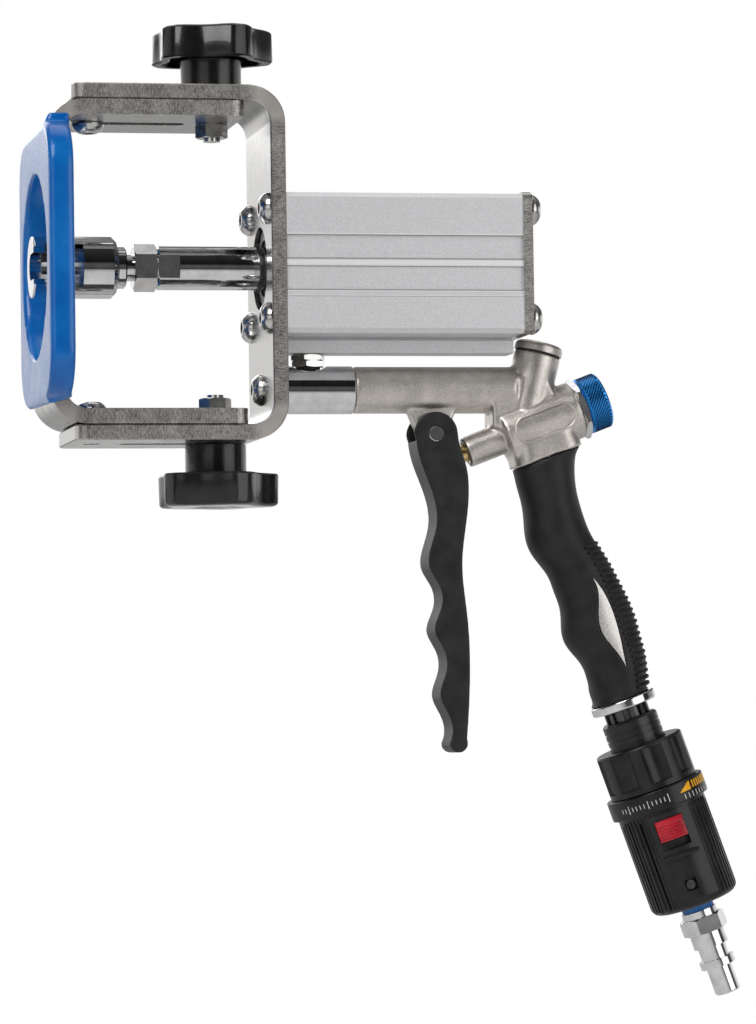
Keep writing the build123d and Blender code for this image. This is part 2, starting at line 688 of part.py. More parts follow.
# ---------------------------------------------------------------- valve
with BuildPart() as valve_ring:
    hexagon(valve_plane, valve_end, valve_end + valve_ring_len, valve_ring_flats, turned=30)
    turn(valve_plane, [(valve_end - 8, valve_end, chamber_r - thread_gap)])
    bore(valve_plane, [(valve_end - 9, valve_end + valve_ring_len + 1, needle_r + running_gap)])
save(valve_ring, "valve_ring")

knob_start = valve_end + valve_ring_len + slide_gap
with BuildPart() as flow_knob:
    turn(valve_plane, [(knob_start, knob_start + flow_knob_len, flow_knob_r)])
    chamfer(flow_knob.edges().filter_by(GeomType.CIRCLE), 0.9)
    bore(valve_plane, [(knob_start - 1, knob_start + needle_seat, needle_r)])
save(flow_knob, "flow_knob")

with BuildPart() as flow_needle:
    turn(valve_plane, [(valve_end - needle_len, knob_start + needle_seat, needle_r - seal_fit)])
    turn(valve_plane, [(valve_end - needle_len - needle_tip_len, valve_end - needle_len, needle_tip_r)])
save(flow_needle, "flow_needle")

poppet_at = chamber_start + 1.5
with BuildPart() as valve_stem:
    turn(valve_plane, [(-stem_lead, poppet_at, stem_r)])
    fillet(valve_stem.edges().filter_by(GeomType.CIRCLE).sort_by(Axis.X)[0], stem_r - 0.4)
    turn(valve_plane, [(poppet_at, poppet_at + 3, poppet_r)])
save(valve_stem, "valve_stem")

with BuildPart() as valve_spring:
    coil(valve_plane, poppet_at + 3.1, valve_end - 8.1, valve_coil_r, valve_wire_r, valve_turns)
save(valve_spring, "valve_spring")

# ---------------------------------------------------------------- trigger
# side view about the pivot, from the top of the front wall down, then from the tip up the back
trigger_front = [
    (-9.3, -3.0), (-6.7, -14.9), (-2.0, -27.7), (-0.6, -42.6), (-4.0, -61.7), (0.6, -70.2), (1.5, -78.7),
    (-2.0, -90.4), (2.4, -100.0), (3.0, -109.5), (0.1, -120.1), (3.6, -128.6), (4.2, -142.0),
]
trigger_back = [
    (12.3, -140.4), (14.2, -110.0), (13.4, -84.0), (11.4, -60.0), (14.6, -33.0), (14.0, -15.0), (cheek_r, 0),
]
trigger_tip = (8.6, -146.5)
channel_end = trigger_front[-2]

with BuildPart() as trigger_lever:
    with BuildSketch(pivot_plane):
        with BuildLine():
            front = Spline(trigger_front)
            ThreePointArc(front @ 1, trigger_tip, trigger_back[0])
            back = Spline(trigger_back, tangents=[(0.1, 1), (-0.1, 1)])
            top = ThreePointArc(back @ 1, (0, cheek_r), (-cheek_r, 0))
            Line(top @ 1, front @ 0)
        make_face()
    extrude(amount=trigger_w / 2, both=True)
    # the channel between the cheeks, open at the back and at the top
    with BuildSketch(pivot_plane):
        with BuildLine():
            inner = Spline([(x + channel_wall, z) for x, z in trigger_front[:-1]])
            Polyline(
                inner @ 1,
                (3 * cheek_r, channel_end[1] - 3),
                (3 * cheek_r, 2 * cheek_r),
                (-2 * cheek_r, 2 * cheek_r),
                (-2 * cheek_r, trigger_front[0][1]),
                inner @ 0,
            )
        make_face()
    extrude(amount=trigger_w / 2 - trigger_wall, both=True, mode=Mode.SUBTRACT)
    # the pad that pushes the valve stem, square to the valve's axis
    pad_x = pad_arm * sin(radians(valve_angle))
    pad_z = -pad_arm * cos(radians(valve_angle))
    pad_len = 9.4
    with BuildSketch(pivot_plane):
        with Locations(Location((pad_x, pad_z, 0), (0, 0, valve_angle))):
            with Locations((-pad_len / 2, 0)):
                Rectangle(pad_len, 8)
    extrude(amount=trigger_w / 2 - trigger_wall + 0.5, both=True)
    with BuildSketch(pivot_plane):
        Circle(pivot_r + running_gap)
    extrude(amount=trigger_w, both=True, mode=Mode.SUBTRACT)
save(trigger_lever, "trigger_lever")

with BuildPart() as trigger_pin:
    with BuildSketch(pivot_plane):
        Circle(pivot_r)
    extrude(amount=trigger_w / 2 + 0.4, both=True)
    chamfer(trigger_pin.edges(), 0.3)
save(trigger_pin, "trigger_pin")

# ---------------------------------------------------------------- grip
# the sleeve's sections: (down the axis, front edge, back edge)
grip_sections = [
    (0.2, -11.6, 22.6), (3.5, -11.7, 18.8), (13, -12.6, 14.7), (23, -14.4, 12.7), (32, -16.8, 12.2),
    (40, -16.6, 12.5), (48, -14.0, 14.2), (57, -12.7, 16.1), (66, -12.7, 17.3), (75, -14.9, 18.4),
    (84, -16.3, 18.6), (92, -13.7, 17.8), (100, -12.0, 17.2), (108, -12.2, 15.5), (grip_len, -13.9, 13.4),
]
inlay_front = [(3.0, -58.9), (2.0, -70.4), (-0.7, -77.5), (-1.4, -84.5), (0.6, -91.7), (3.5, -102.7)]
inlay_back = [(3.5, -102.7), (6.0, -87.3), (6.6, -75.7), (5.5, -66.2), (3.0, -58.9)]
inlay_floor = 11.0      # from the grip's middle plane


def sleeve_solid():
    """The grip's outer form: a loft through its sections."""
    sections = []
    for down, front_edge, back_edge in grip_sections:
        with BuildSketch(grip_plane.offset(down)) as section:
            with Locations((0, (front_edge + back_edge) / 2)):
                Ellipse(grip_half_depth, (back_edge - front_edge) / 2)
        sections.append(section.sketch)
    loft(sections)


def inlay_outline():
    """The pointed lens let into each side of the grip."""
    with BuildLine() as lens:
        Spline(inlay_front)
        Spline(inlay_back)
    make_face(lens.edges())


with BuildPart() as grip_sleeve:
    sleeve_solid()
    bore(grip_plane, [(-1, grip_len + 1, core_r + running_gap)])
    for side in (1, -1):
        with BuildSketch(grip_side.offset(side * inlay_floor)):
            inlay_outline()
        extrude(amount=side * grip_half_depth, mode=Mode.SUBTRACT)
save(grip_sleeve, "grip_sleeve")

with BuildPart() as grip_inlays:
    sleeve_solid()
    with BuildSketch(grip_side.offset(-2 * grip_half_depth)):
        inlay_outline()
    extrude(amount=4 * grip_half_depth, mode=Mode.INTERSECT)
    with BuildSketch(grip_side.offset(-inlay_floor)):
        Rectangle(8 * grip_half_depth, 3 * grip_len)
    extrude(amount=2 * inlay_floor, mode=Mode.SUBTRACT)
save(grip_inlays, "grip_inlays")

with BuildPart() as grip_core:
    turn(grip_plane, [(core_start + 0.1, regulator_start + 6, core_r)])
    bore(grip_plane, [(-13, regulator_start + 7, core_bore_r)])
save(grip_core, "grip_core")

with BuildPart() as grip_ring:
    turn(regulator_plane, [(-ring_len / 2 + 0.2, ring_len / 2 + 0.2, ring_r)])
    fillet(grip_ring.edges(), 0.8)
    bore(regulator_plane, [(-ring_len, ring_len, core_r + thread_gap)])
save(grip_ring, "grip_ring")

# ---------------------------------------------------------------- regulator
nut_top = ring_len / 2 + 0.3
neck_top = 7.6
inlet_nut_r = 9.2
inlet_nut_teeth = 12
tooth_long = 2.6
tooth_wide = 2.2
neck_grooves = (12.0, 15.0, 18.0)
neck_groove_depth = 0.5
neck_groove_w = 0.8
neck_drill_len = 22.0
neck_drill_r = 4.5
spring_room_r = 10.6
reg_knob_top = 20.3
reg_knob_len = 21.0
reg_knob_r = 20.7
scale_top = 41.7
scale_len = 9.3
scale_r = 23.2
housing_top = scale_top + scale_len
housing_len = 48.0
housing_r = 20.9
housing_bore_r = 17.0
neck_r = 13.2
flutes = 16
flute_sweep = 260        # degrees round the housing that carry flutes; its front stays plain
flute_r = 1.9
flute_stand = 0.9       # how far outside the housing the flutes are centred
flute_top = 3.0
knob_scallops = 8
knob_scallop_r = 9.0
knob_scallop_stand = 6.4
plug_bore_r = 6.6

with BuildPart() as inlet_nut:
    with BuildSketch(regulator_plane.offset(nut_top)):
        Circle(inlet_nut_r)
        with PolarLocations(inlet_nut_r, inlet_nut_teeth):
            Rectangle(tooth_long, tooth_wide)
    extrude(amount=neck_top - nut_top - 0.05)
    bore(regulator_plane, [(0, neck_top + 1, core_r + thread_gap)])
save(inlet_nut, "inlet_nut")

with BuildPart() as regulator_neck:
    turn(regulator_plane, [(neck_top, housing_top, neck_r)])
    chamfer(regulator_neck.edges().sort_by(Axis.Z)[-1], 1.0)
    for groove_at in neck_grooves:
        with BuildSketch(regulator_plane.offset(groove_at)):
            Circle(neck_r + 1)
            Circle(neck_r - neck_groove_depth, mode=Mode.SUBTRACT)
        extrude(amount=neck_groove_w, mode=Mode.SUBTRACT)
    bore(regulator_plane, [(neck_top - 1, neck_drill_len, neck_drill_r)])
    bore(regulator_plane, [(neck_drill_len - 0.1, housing_top + 1, spring_room_r)])
save(regulator_neck, "regulator_neck")

with BuildPart() as regulator_knob:
    turn(regulator_plane, [(reg_knob_top, reg_knob_top + reg_knob_len, reg_knob_r)])
    fillet(regulator_knob.edges().sort_by(Axis.Z)[-1], 1.2)
    with BuildSketch(regulator_plane.offset(reg_knob_top + 1.5)):
        with PolarLocations(reg_knob_r + knob_scallop_stand, knob_scallops):
            Circle(knob_scallop_r)
    extrude(amount=reg_knob_len - 4, mode=Mode.SUBTRACT)
    bore(regulator_plane, [(reg_knob_top - 1, scale_top, neck_r + slide_gap)])
save(regulator_knob, "regulator_knob")

with BuildPart() as scale_ring:
    turn(regulator_plane, [(scale_top, scale_top + scale_len, scale_r)])
    fillet(scale_ring.edges(), 0.6)
    bore(regulator_plane, [(scale_top - 1, scale_top + scale_len + 1, neck_r + thread_gap)])
save(scale_ring, "scale_ring")

lock_u = -4.0
lock_s = 62.5
lock_w = 18.0
lock_h = 20.0
lock_window_w = 13.4
lock_window_h = 14.4
lock_r = housing_r + 0.7
lock_back = 8.0
pocket_floor = 18.4     # the slider's pocket, from the regulator's middle plane
slider_w = 12.8
slider_h = 9.8
slider_travel = 4.0
screw_s = 88.0
screw_recess_w = 5.6
screw_recess_depth = 3.0
screw_head_r = 2.1
screw_head_h = 1.4
screw_r = 1.2
screw_depth = 9.0

with BuildPart() as regulator_housing:
    turn(regulator_plane, [(housing_top + 0.05, housing_top + housing_len, housing_r)])
    fillet(regulator_housing.edges().sort_by(Axis.Z)[0], 4.0)
    with BuildSketch(regulator_plane.offset(housing_top + flute_top)):
        around = housing_r + flute_stand
        with PolarLocations(around, flutes, start_angle=-flute_sweep / 2, angular_range=flute_sweep):
            Circle(flute_r)
    extrude(amount=housing_len, mode=Mode.SUBTRACT)
    bore(regulator_plane, [(housing_top - 1, housing_top + 30, housing_bore_r)])
    bore(regulator_plane, [(housing_top, housing_top + housing_len + 1, plug_bore_r)])
    with BuildSketch(regulator_side.offset(lock_back)):
        with Locations((lock_u, -lock_s)):
            Rectangle(lock_w + 0.1, lock_h + 0.1)
    extrude(amount=housing_r, mode=Mode.SUBTRACT)
    with BuildSketch(regulator_side.offset(housing_r - screw_recess_depth)):
        with Locations((lock_u, -screw_s)):
            Rectangle(screw_recess_w, screw_recess_w)
    extrude(amount=lock_w, mode=Mode.SUBTRACT)
    with BuildSketch(regulator_side.offset(housing_r - screw_depth - 1)):
        with Locations((lock_u, -screw_s)):
            Circle(screw_r)
    extrude(amount=lock_w, mode=Mode.SUBTRACT)
save(regulator_housing, "regulator_housing")

with BuildPart() as regulator_screw:
    with BuildSketch(regulator_side.offset(housing_r - screw_recess_depth)):
        with Locations((lock_u, -screw_s)):
            Circle(screw_head_r)
    extrude(amount=screw_head_h)
    with BuildSketch(regulator_side.offset(housing_r - screw_depth)):
        with Locations((lock_u, -screw_s)):
            Circle(screw_r - thread_gap)
    extrude(amount=screw_depth - screw_recess_depth + 1)
save(regulator_screw, "regulator_screw")

with BuildPart() as lock_frame:
    with BuildSketch(regulator_side.offset(lock_back)):
        with Locations((lock_u, -lock_s)):
            Rectangle(lock_w, lock_h)
    extrude(amount=housing_r)
    with BuildSketch(regulator_plane):
        Circle(lock_r)
    extrude(amount=2 * housing_top, mode=Mode.INTERSECT)
    with BuildSketch(regulator_side.offset(pocket_floor)):
        with Locations((lock_u, -lock_s)):
            Rectangle(lock_window_w, lock_window_h)
    extrude(amount=housing_r, mode=Mode.SUBTRACT)
    bore(regulator_plane, [(0, 2 * housing_top, housing_bore_r + 0.05)])
save(lock_frame, "lock_frame")

with BuildPart() as lock_slider:
    with BuildSketch(regulator_side.offset(pocket_floor + slide_gap)):
        with Locations((lock_u, -lock_s + slider_travel / 2)):
            Rectangle(slider_w, slider_h)
    extrude(amount=housing_r)
    with BuildSketch(regulator_plane):
        Circle(lock_r + 0.6)
    extrude(amount=2 * housing_top, mode=Mode.INTERSECT)
save(lock_slider, "lock_slider")

with BuildPart() as spring_seat:
    turn(regulator_plane, [(22.2, 24.2, 10.3)])
save(spring_seat, "spring_seat")

with BuildPart() as regulator_spring:
    coil(regulator_plane, 24.4, housing_top + 0.9, 7.5, 1.0, 6)
save(regulator_spring, "regulator_spring")

with BuildPart() as diaphragm:
    turn(regulator_plane, [(housing_top + 1.0, housing_top + 2.6, housing_bore_r - 0.2)])
save(diaphragm, "diaphragm")

poppet_stem_r = 2.4
poppet_head_r = 6.0
with BuildPart() as regulator_valve:
    turn(regulator_plane, [(housing_top + 2.8, housing_top + 34, poppet_stem_r)])
    turn(regulator_plane, [(housing_top + 24, housing_top + 27, poppet_head_r)])
save(regulator_valve, "regulator_valve")

# ---------------------------------------------------------------- air plug
plug_top = housing_top + housing_len
plug_r = 6.0
plug_seal_h = 3.6
plug_seal_r = 7.6
plug_hex = (6.6, 14.2)
plug_flats = 19.0
plug_thread_len = 9.0
plug_hole_r = 3.5
plug_len = 44.2
plug_steps = [
    (3.6, 6.6, 8.4), (14.2, 21.0, 8.2), (21.0, 27.5, 6.6), (27.5, 31.0, 8.3), (31.0, plug_len, plug_r),
]

with BuildPart() as plug_seal:
    turn(regulator_plane, [(plug_top, plug_top + plug_seal_h, plug_seal_r)])
    bore(regulator_plane, [(plug_top - 1, plug_top + plug_seal_h + 1, plug_bore_r)])
save(plug_seal, "plug_seal")

with BuildPart() as air_plug:
    plug_plane = regulator_plane.offset(plug_top)
    turn(plug_plane, [(-plug_thread_len, plug_seal_h, plug_bore_r - thread_gap)])
    hexagon(plug_plane, *plug_hex, plug_flats, turned=30)
    turn(plug_plane, plug_steps)
    chamfer(air_plug.edges().filter_by(GeomType.CIRCLE).sort_by(Axis.Z)[0], 0.8)
    bore(plug_plane, [(-plug_thread_len - 1, plug_len + 1, plug_hole_r)])
save(air_plug, "air_plug")
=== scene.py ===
"""Looks for a hand-held capping press: finishes for its CAD pieces and the detailed pieces over them."""

import json
import math

import bpy
from mathutils import Matrix, Vector


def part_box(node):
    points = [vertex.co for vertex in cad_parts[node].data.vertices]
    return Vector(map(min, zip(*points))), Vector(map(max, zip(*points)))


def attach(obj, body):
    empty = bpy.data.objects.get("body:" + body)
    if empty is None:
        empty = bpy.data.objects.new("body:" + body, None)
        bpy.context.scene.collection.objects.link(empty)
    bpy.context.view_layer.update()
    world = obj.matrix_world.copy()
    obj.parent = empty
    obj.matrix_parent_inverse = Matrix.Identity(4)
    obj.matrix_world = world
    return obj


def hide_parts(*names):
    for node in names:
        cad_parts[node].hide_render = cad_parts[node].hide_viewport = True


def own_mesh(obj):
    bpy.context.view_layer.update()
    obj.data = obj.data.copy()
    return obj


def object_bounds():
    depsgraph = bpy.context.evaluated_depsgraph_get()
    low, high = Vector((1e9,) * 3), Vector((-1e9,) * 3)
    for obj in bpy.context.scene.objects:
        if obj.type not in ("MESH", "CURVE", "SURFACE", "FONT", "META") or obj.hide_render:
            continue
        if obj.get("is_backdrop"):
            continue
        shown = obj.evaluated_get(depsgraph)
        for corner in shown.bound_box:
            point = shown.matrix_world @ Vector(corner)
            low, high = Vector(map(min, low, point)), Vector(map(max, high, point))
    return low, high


bl_info = {
    "name": "Capping press",
    "version": (1, 0, 0),
    "blender": (4, 5, 0),
    "location": "View3D > Sidebar > Capping press",
    "description": "Builds the detailed pieces and finishes of a hand-held capping press",
    "category": "Object",
}

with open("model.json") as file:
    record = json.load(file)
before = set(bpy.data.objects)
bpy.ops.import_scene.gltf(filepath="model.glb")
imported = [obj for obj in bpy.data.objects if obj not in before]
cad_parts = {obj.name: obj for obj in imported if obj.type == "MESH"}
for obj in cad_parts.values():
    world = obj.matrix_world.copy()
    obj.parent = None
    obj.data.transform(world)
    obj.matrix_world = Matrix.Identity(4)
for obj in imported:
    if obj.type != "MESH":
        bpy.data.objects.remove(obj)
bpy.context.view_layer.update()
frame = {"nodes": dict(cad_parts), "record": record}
NODES = frame["nodes"]
MM = 0.001


# ---------------------------------------------------------------- places
def placed(origin, along, towards):
    """A matrix at origin in mm whose z runs along one direction and whose x points towards another."""
    z = Vector(along).normalized()
    y = z.cross(Vector(towards)).normalized()
    x = y.cross(z)
    return Matrix.Translation(Vector(origin) * MM) @ Matrix((x, y, z)).transposed().to_4x4()


GRIP_TILT = math.radians(19.6)
VALVE_TILT = math.radians(20.7)
GRIP_DIR = (math.sin(GRIP_TILT), 0, -math.cos(GRIP_TILT))
GRIP_BACK = (math.cos(GRIP_TILT), 0, math.sin(GRIP_TILT))
VALVE_DIR = (math.cos(VALVE_TILT), 0, math.sin(VALVE_TILT))
GRIP_TOP = Vector((233.98, 0, -88.89))
REGULATOR_DOWN = 119.0  # from the top of the grip, along its axis
VALVE_NOSE = Vector((200.9, 0, -84.85))
CLAMP_X = 83.9
BRACKET_HALF = 80.5
GRIP = placed(GRIP_TOP, GRIP_DIR, GRIP_BACK)
REGULATOR = placed(GRIP_TOP + REGULATOR_DOWN * Vector(GRIP_DIR), GRIP_DIR, GRIP_BACK)
VALVE = placed(VALVE_NOSE, VALVE_DIR, (0, -1, 0))
UPPER_SEAT = placed((CLAMP_X, 0, BRACKET_HALF), (0, 0, 1), (1, 0, 0))
LOWER_SEAT = placed((CLAMP_X, 0, -BRACKET_HALF), (0, 0, -1), (1, 0, 0))


# ---------------------------------------------------------------- shader tools
class Value:
    """A shader socket; arithmetic on it adds Math nodes."""

    def __init__(self, finish, socket):
        self.finish = finish
        self.socket = socket

    def _do(self, operation, a, b=None):
        inputs = {0: a} if b is None else {0: a, 1: b}
        return self.finish.node("ShaderNodeMath", {"operation": operation}, inputs)

    def __add__(self, other):
        return self._do("ADD", self, other)

    def __radd__(self, other):
        return self._do("ADD", other, self)

    def __sub__(self, other):
        return self._do("SUBTRACT", self, other)

    def __rsub__(self, other):
        return self._do("SUBTRACT", other, self)

    def __mul__(self, other):
        return self._do("MULTIPLY", self, other)

    def __rmul__(self, other):
        return self._do("MULTIPLY", other, self)

    def __gt__(self, other):
        return self._do("GREATER_THAN", self, other)

    def __abs__(self):
        return self._do("ABSOLUTE", self)


class Finish:
    """A material under construction."""

    def __init__(self, name, **constants):
        self.material = bpy.data.materials.new(name)
        self.material.use_nodes = True
        self.tree = self.material.node_tree
        self.surface = self.tree.nodes["Principled BSDF"]
        for socket, value in constants.items():
            self.surface.inputs[socket.replace("_", " ")].default_value = value
        self.place = self.node("ShaderNodeTexCoord", out="Object")

    def node(self, kind, settings=None, inputs=None, out=0):
        made = self.tree.nodes.new(kind)
        for name, value in (settings or {}).items():
            setattr(made, name, value)
        for name, value in (inputs or {}).items():
            if isinstance(value, Value):
                self.tree.links.new(value.socket, made.inputs[name])
            else:
                made.inputs[name].default_value = value
        return Value(self, made.outputs[out])

    def axis(self, name):
        return self.node("ShaderNodeSeparateXYZ", None, {0: self.place}, name)

    def facing(self, name):
        normal = self.node("ShaderNodeNewGeometry", out="Normal")
        return abs(self.node("ShaderNodeSeparateXYZ", None, {0: normal}, name))

    def noise(self, size, detail=2.0, stretch=(1, 1, 1)):
        """Soft random values with features of a size in mm, drawn out along an axis."""
        at = self.node("ShaderNodeMapping", None, {0: self.place, "Scale": [1 / s for s in stretch]})
        inputs = {"Vector": at, "Scale": 1 / (size * MM), "Detail": detail}
        return self.node("ShaderNodeTexNoise", None, inputs)

    def fit(self, value, low, high, to_low, to_high):
        inputs = {0: value, 1: low, 2: high, 3: to_low, 4: to_high}
        return self.node("ShaderNodeMapRange", None, inputs)

    def mix(self, factor, a, b):
        colours = [c if isinstance(c, Value) else (*c, 1.0) for c in (a, b)]
        inputs = {0: factor, 6: colours[0], 7: colours[1]}
        return self.node("ShaderNodeMix", {"data_type": "RGBA"}, inputs, 2)

    def set(self, socket, value):
        self.tree.links.new(value.socket, self.surface.inputs[socket])

    def bump(self, height, depth, strength=1.0):
        """Raises the surface by a height in mm."""
        inputs = {"Height": height, "Distance": depth * MM, "Strength": strength}
        self.set("Normal", self.node("ShaderNodeBump", None, inputs))


def metal(name, dark, light, rough, grain=0.25, depth=0.01, spread=6.0, stretch=(1, 1, 1)):
    """A bare or plated metal: blotched tone, uneven gloss and a fine grain."""
    f = Finish(name, Metallic=1.0)
    blotch = f.noise(spread, 4)
    fine = f.noise(grain, 3, stretch)
    f.set("Base Color", f.mix(f.fit(blotch * 0.6 + fine * 0.4, 0.35, 0.65, 0, 1), dark, light))
    f.set("Roughness", f.fit(blotch * 0.5 + fine * 0.5, 0.3, 0.7, rough[0], rough[1]))
    f.bump(fine, depth)
    return f


def moulded(name, dark, light, rough, grain=0.5, depth=0.02, coat=0.0, edge_highlight_level=0.15):
    """A plastic, rubber or paint: slight mottling, a moulded grain and a painted highlight along convex
    edges.
    """
    f = Finish(name, Coat_Weight=coat, Specular_IOR_Level=0.3)
    blotch = f.noise(9, 4)
    fine = f.noise(grain, 3)
    # painted highlight: convex edges lightened by pointiness
    edge = f.node("ShaderNodeNewGeometry", out="Pointiness")
    painted_edge_highlight = f.fit(edge, 0.51, 0.56, 0, edge_highlight_level)
    f.set("Base Color", f.mix(f.fit(blotch, 0.35, 0.65, 0, 1) * 0.7 + painted_edge_highlight, dark, light))
    f.set("Roughness", f.fit(fine * 0.6 + blotch * 0.4, 0.3, 0.7, rough[0], rough[1]))
    f.bump(fine, depth)
    return f


def plated_steel(settings):
    """Nickel-plated bar: smooth faces, and cut edges with fine striations across their thickness."""
    f = Finish("plated steel", Metallic=1.0)
    blotch = f.noise(8, 4)
    drag = f.noise(0.35, 3, (12, 1, 12))
    on_edge = f.facing("Y") > 0.7
    on_arm = abs(f.axis("Z")) > 0.0665
    run_x = f.noise(0.4, 3, (1, 5, 5))
    run_z = f.noise(0.4, 3, (5, 5, 1))
    speck = f.noise(0.45, 4)
    cut = (run_x * on_arm + run_z * (1 - on_arm)) * 0.5 + speck * 0.5
    tone = f.fit(blotch, 0.35, 0.65, 0, 1)
    past = f.fit(abs(f.axis("X") - 0.0575), 0.038, 0.043, 0, 1)
    bent = past * f.fit(abs(f.axis("Z")), 0.0625, 0.0665, 0, 1)
    sawn = on_edge * (1 - bent)
    faces = f.mix(tone * 0.2 + drag * 0.15, (0.40, 0.388, 0.375), settings.steel)
    ragged = f.fit(cut, 0.38, 0.62, 0, 1) * 0.8 + tone * 0.2
    edges = f.mix(ragged, (0.10, 0.093, 0.088), (0.60, 0.575, 0.55))
    curved = f.mix(speck, (0.52, 0.485, 0.455), (0.74, 0.70, 0.665))
    f.set("Base Color", f.mix(on_edge, faces, f.mix(bent, edges, curved)))
    f.set("Roughness", f.fit(blotch, 0.3, 0.7, 0.2, 0.28) + on_edge * 0.14)
    f.bump(cut * sawn + drag * 0.05 * (1 - sawn), 0.16)
    return f.material


def anodised(settings):
    """Silver anodised extrusion: fine speckle, with a painted highlight line and a painted shade line along
    each step.
    """
    f = Finish("anodised extrusion", Metallic=0.5)
    speckle = f.noise(0.24, 2)
    lines = f.noise(0.5, 2, (60, 1, 1))
    up = f.axis("Z")

    def along(rows):
        """Bands at heights in mm, each a height and half a width."""
        total = None
        for height, half in rows:
            band = 1 - f.fit(abs(up - height * MM), half * MM * 0.6, half * MM * 1.4, 0, 1)
            total = band if total is None else total + band
        return total

    tone = f.fit(speckle * 0.92 + lines * 0.08, 0.35, 0.65, 0, 1)
    body = f.mix(tone, (0.60, 0.60, 0.61), settings.aluminium)
    # painted highlight: bright bands at the steps' corners
    corners = along(((12.98, 0.24), (0.0, 1.2), (-15.1, 0.16), (-12.95, 0.2)))
    lit = f.mix(corners * 0.75, body, (0.97, 0.97, 0.98))
    # painted shade: dark bands just past each step
    shaded = along(((12.5, 0.18), (1.85, 0.35), (-1.7, 0.16), (-12.45, 0.34), (-15.4, 0.14)))
    f.set("Base Color", f.mix(shaded * 0.62, lit, (0.16, 0.162, 0.17)))
    f.set("Roughness", f.fit(speckle, 0.3, 0.7, 0.36, 0.5))
    f.bump(speckle + lines * 0.1, 0.014)
    return f.material


def cast_nickel(settings):
    """Satin-plated casting: warm tone under a fine blasted grain."""
    f = Finish("satin nickel casting", Metallic=0.95)
    blotch = f.noise(7, 5)
    grain = f.noise(0.3, 4)
    tone = f.fit(blotch * 0.25 + grain * 0.75, 0.36, 0.64, 0, 1)
    f.set("Base Color", f.mix(tone, (0.36, 0.335, 0.31), settings.nickel))
    f.set("Roughness", f.fit(grain, 0.3, 0.7, 0.28, 0.42))
    f.bump(grain, 0.07)
    return f.material


def dipped_vinyl(settings):
    """Thick glossy dipped plastic with slow ripples and small pits."""
    f = Finish("dipped vinyl", IOR=1.5, Specular_IOR_Level=0.4, Coat_Weight=0.12, Coat_Roughness=0.12)
    ripple = f.noise(14, 3)
    pits = f.noise(0.7, 2)
    f.set("Base Color", f.mix(f.fit(ripple, 0.35, 0.65, 0, 1), (0.0, 0.11, 0.43), settings.blue))
    f.set("Roughness", f.fit(ripple * 0.8 + pits * 0.2, 0.3, 0.7, 0.2, 0.3))
    f.bump(ripple + pits * 0.02, 0.2)
    return f.material


def blue_anodised(settings):
    """Blue anodised aluminium, with a painted highlight on its knurl's points and painted shade in its
    valleys.
    """
    f = Finish("blue anodised", Metallic=0.8)
    point = f.node("ShaderNodeNewGeometry", out="Pointiness")
    fine = f.noise(0.3, 2)
    # painted shade in the knurl's valleys and painted highlight on its points, by pointiness
    f.set("Base Color", f.mix(f.fit(point, 0.44, 0.58, 0, 1), (0.0, 0.02, 0.09), settings.knob))
    f.set("Roughness", f.fit(fine, 0.3, 0.7, 0.24, 0.36))
    f.bump(fine, 0.01)
    return f.material


def finishes(settings):
    """One material for each slot of the record."""
    made = {
        "plated_steel": plated_steel(settings),
        "anodised_aluminium": anodised(settings),
        "satin_nickel": cast_nickel(settings),
        "blue_vinyl": dipped_vinyl(settings),
    }
    rows = {
        "bright_steel": metal("bright plated screws", (0.40, 0.39, 0.38), (0.74, 0.73, 0.71), (0.12, 0.24)),
        "polished_chrome": metal(
            "polished chrome", (0.58, 0.58, 0.59), (0.80, 0.80, 0.81), (0.04, 0.1), 0.4, 0.002
        ),
        "dark_aluminium": metal("dark anodised", (0.05, 0.05, 0.055), (0.10, 0.10, 0.11), (0.3, 0.45)),
        "bronze": metal("sintered bronze", (0.34, 0.22, 0.10), (0.55, 0.38, 0.20), (0.3, 0.45), 0.3, 0.03),
        "brass": metal("turned brass", (0.50, 0.36, 0.14), (0.75, 0.58, 0.28), (0.14, 0.26), 0.3, 0.01),
        "spring_steel": metal("spring wire", (0.25, 0.25, 0.26), (0.48, 0.48, 0.49), (0.2, 0.35)),
        "dark_steel": metal("blackened steel", (0.05, 0.05, 0.05), (0.14, 0.14, 0.14), (0.25, 0.4)),
        "black_rubber": moulded("black rubber", (0.012,) * 3, (0.05,) * 3, (0.55, 0.75)),
        "black_enamel": moulded(
            "textured black coat", (0.010,) * 3, (0.026, 0.026, 0.028), (0.38, 0.52), 0.45, 0.05
        ),
        "black_grip": moulded("soft grip", (0.008,) * 3, (0.022, 0.022, 0.023), (0.4, 0.55), 0.3, 0.02),
        "black_metal": moulded("semi-gloss black", (0.004,) * 3, (0.02,) * 3, (0.24, 0.36), 0.4, 0.008, 0.2),
        "black_plastic": moulded(
            "black nylon", (0.004,) * 3, (0.018, 0.018, 0.019), (0.26, 0.4), 0.5, 0.015, 0.1
        ),
        "black_phenolic": moulded(
            "gloss black moulding", (0.004,) * 3, (0.016,) * 3, (0.16, 0.28), 1.2, 0.012, 0.3
        ),
        "silver_inlay": metal(
            "speckled silver", (0.50, 0.48, 0.46), (0.86, 0.83, 0.80), (0.36, 0.5), 0.3, 0.02, 0.6
        ),
        "red_plastic": moulded(
            "red moulding", (0.36, 0.006, 0.018), (0.58, 0.016, 0.035), (0.25, 0.36), 0.5, 0.01, 0.2
        ),
        "orange_paint": moulded(
            "orange scale paint", (0.86, 0.38, 0.005), (0.97, 0.52, 0.012), (0.3, 0.45), 0.5, 0.01
        ),
        "blue_seal": moulded("blue seal", (0.01, 0.09, 0.34), (0.04, 0.2, 0.55), (0.35, 0.5)),
    }
    made.update({slot: finish.material for slot, finish in rows.items()})
    made["blue_anodised"] = blue_anodised(settings)
    return made


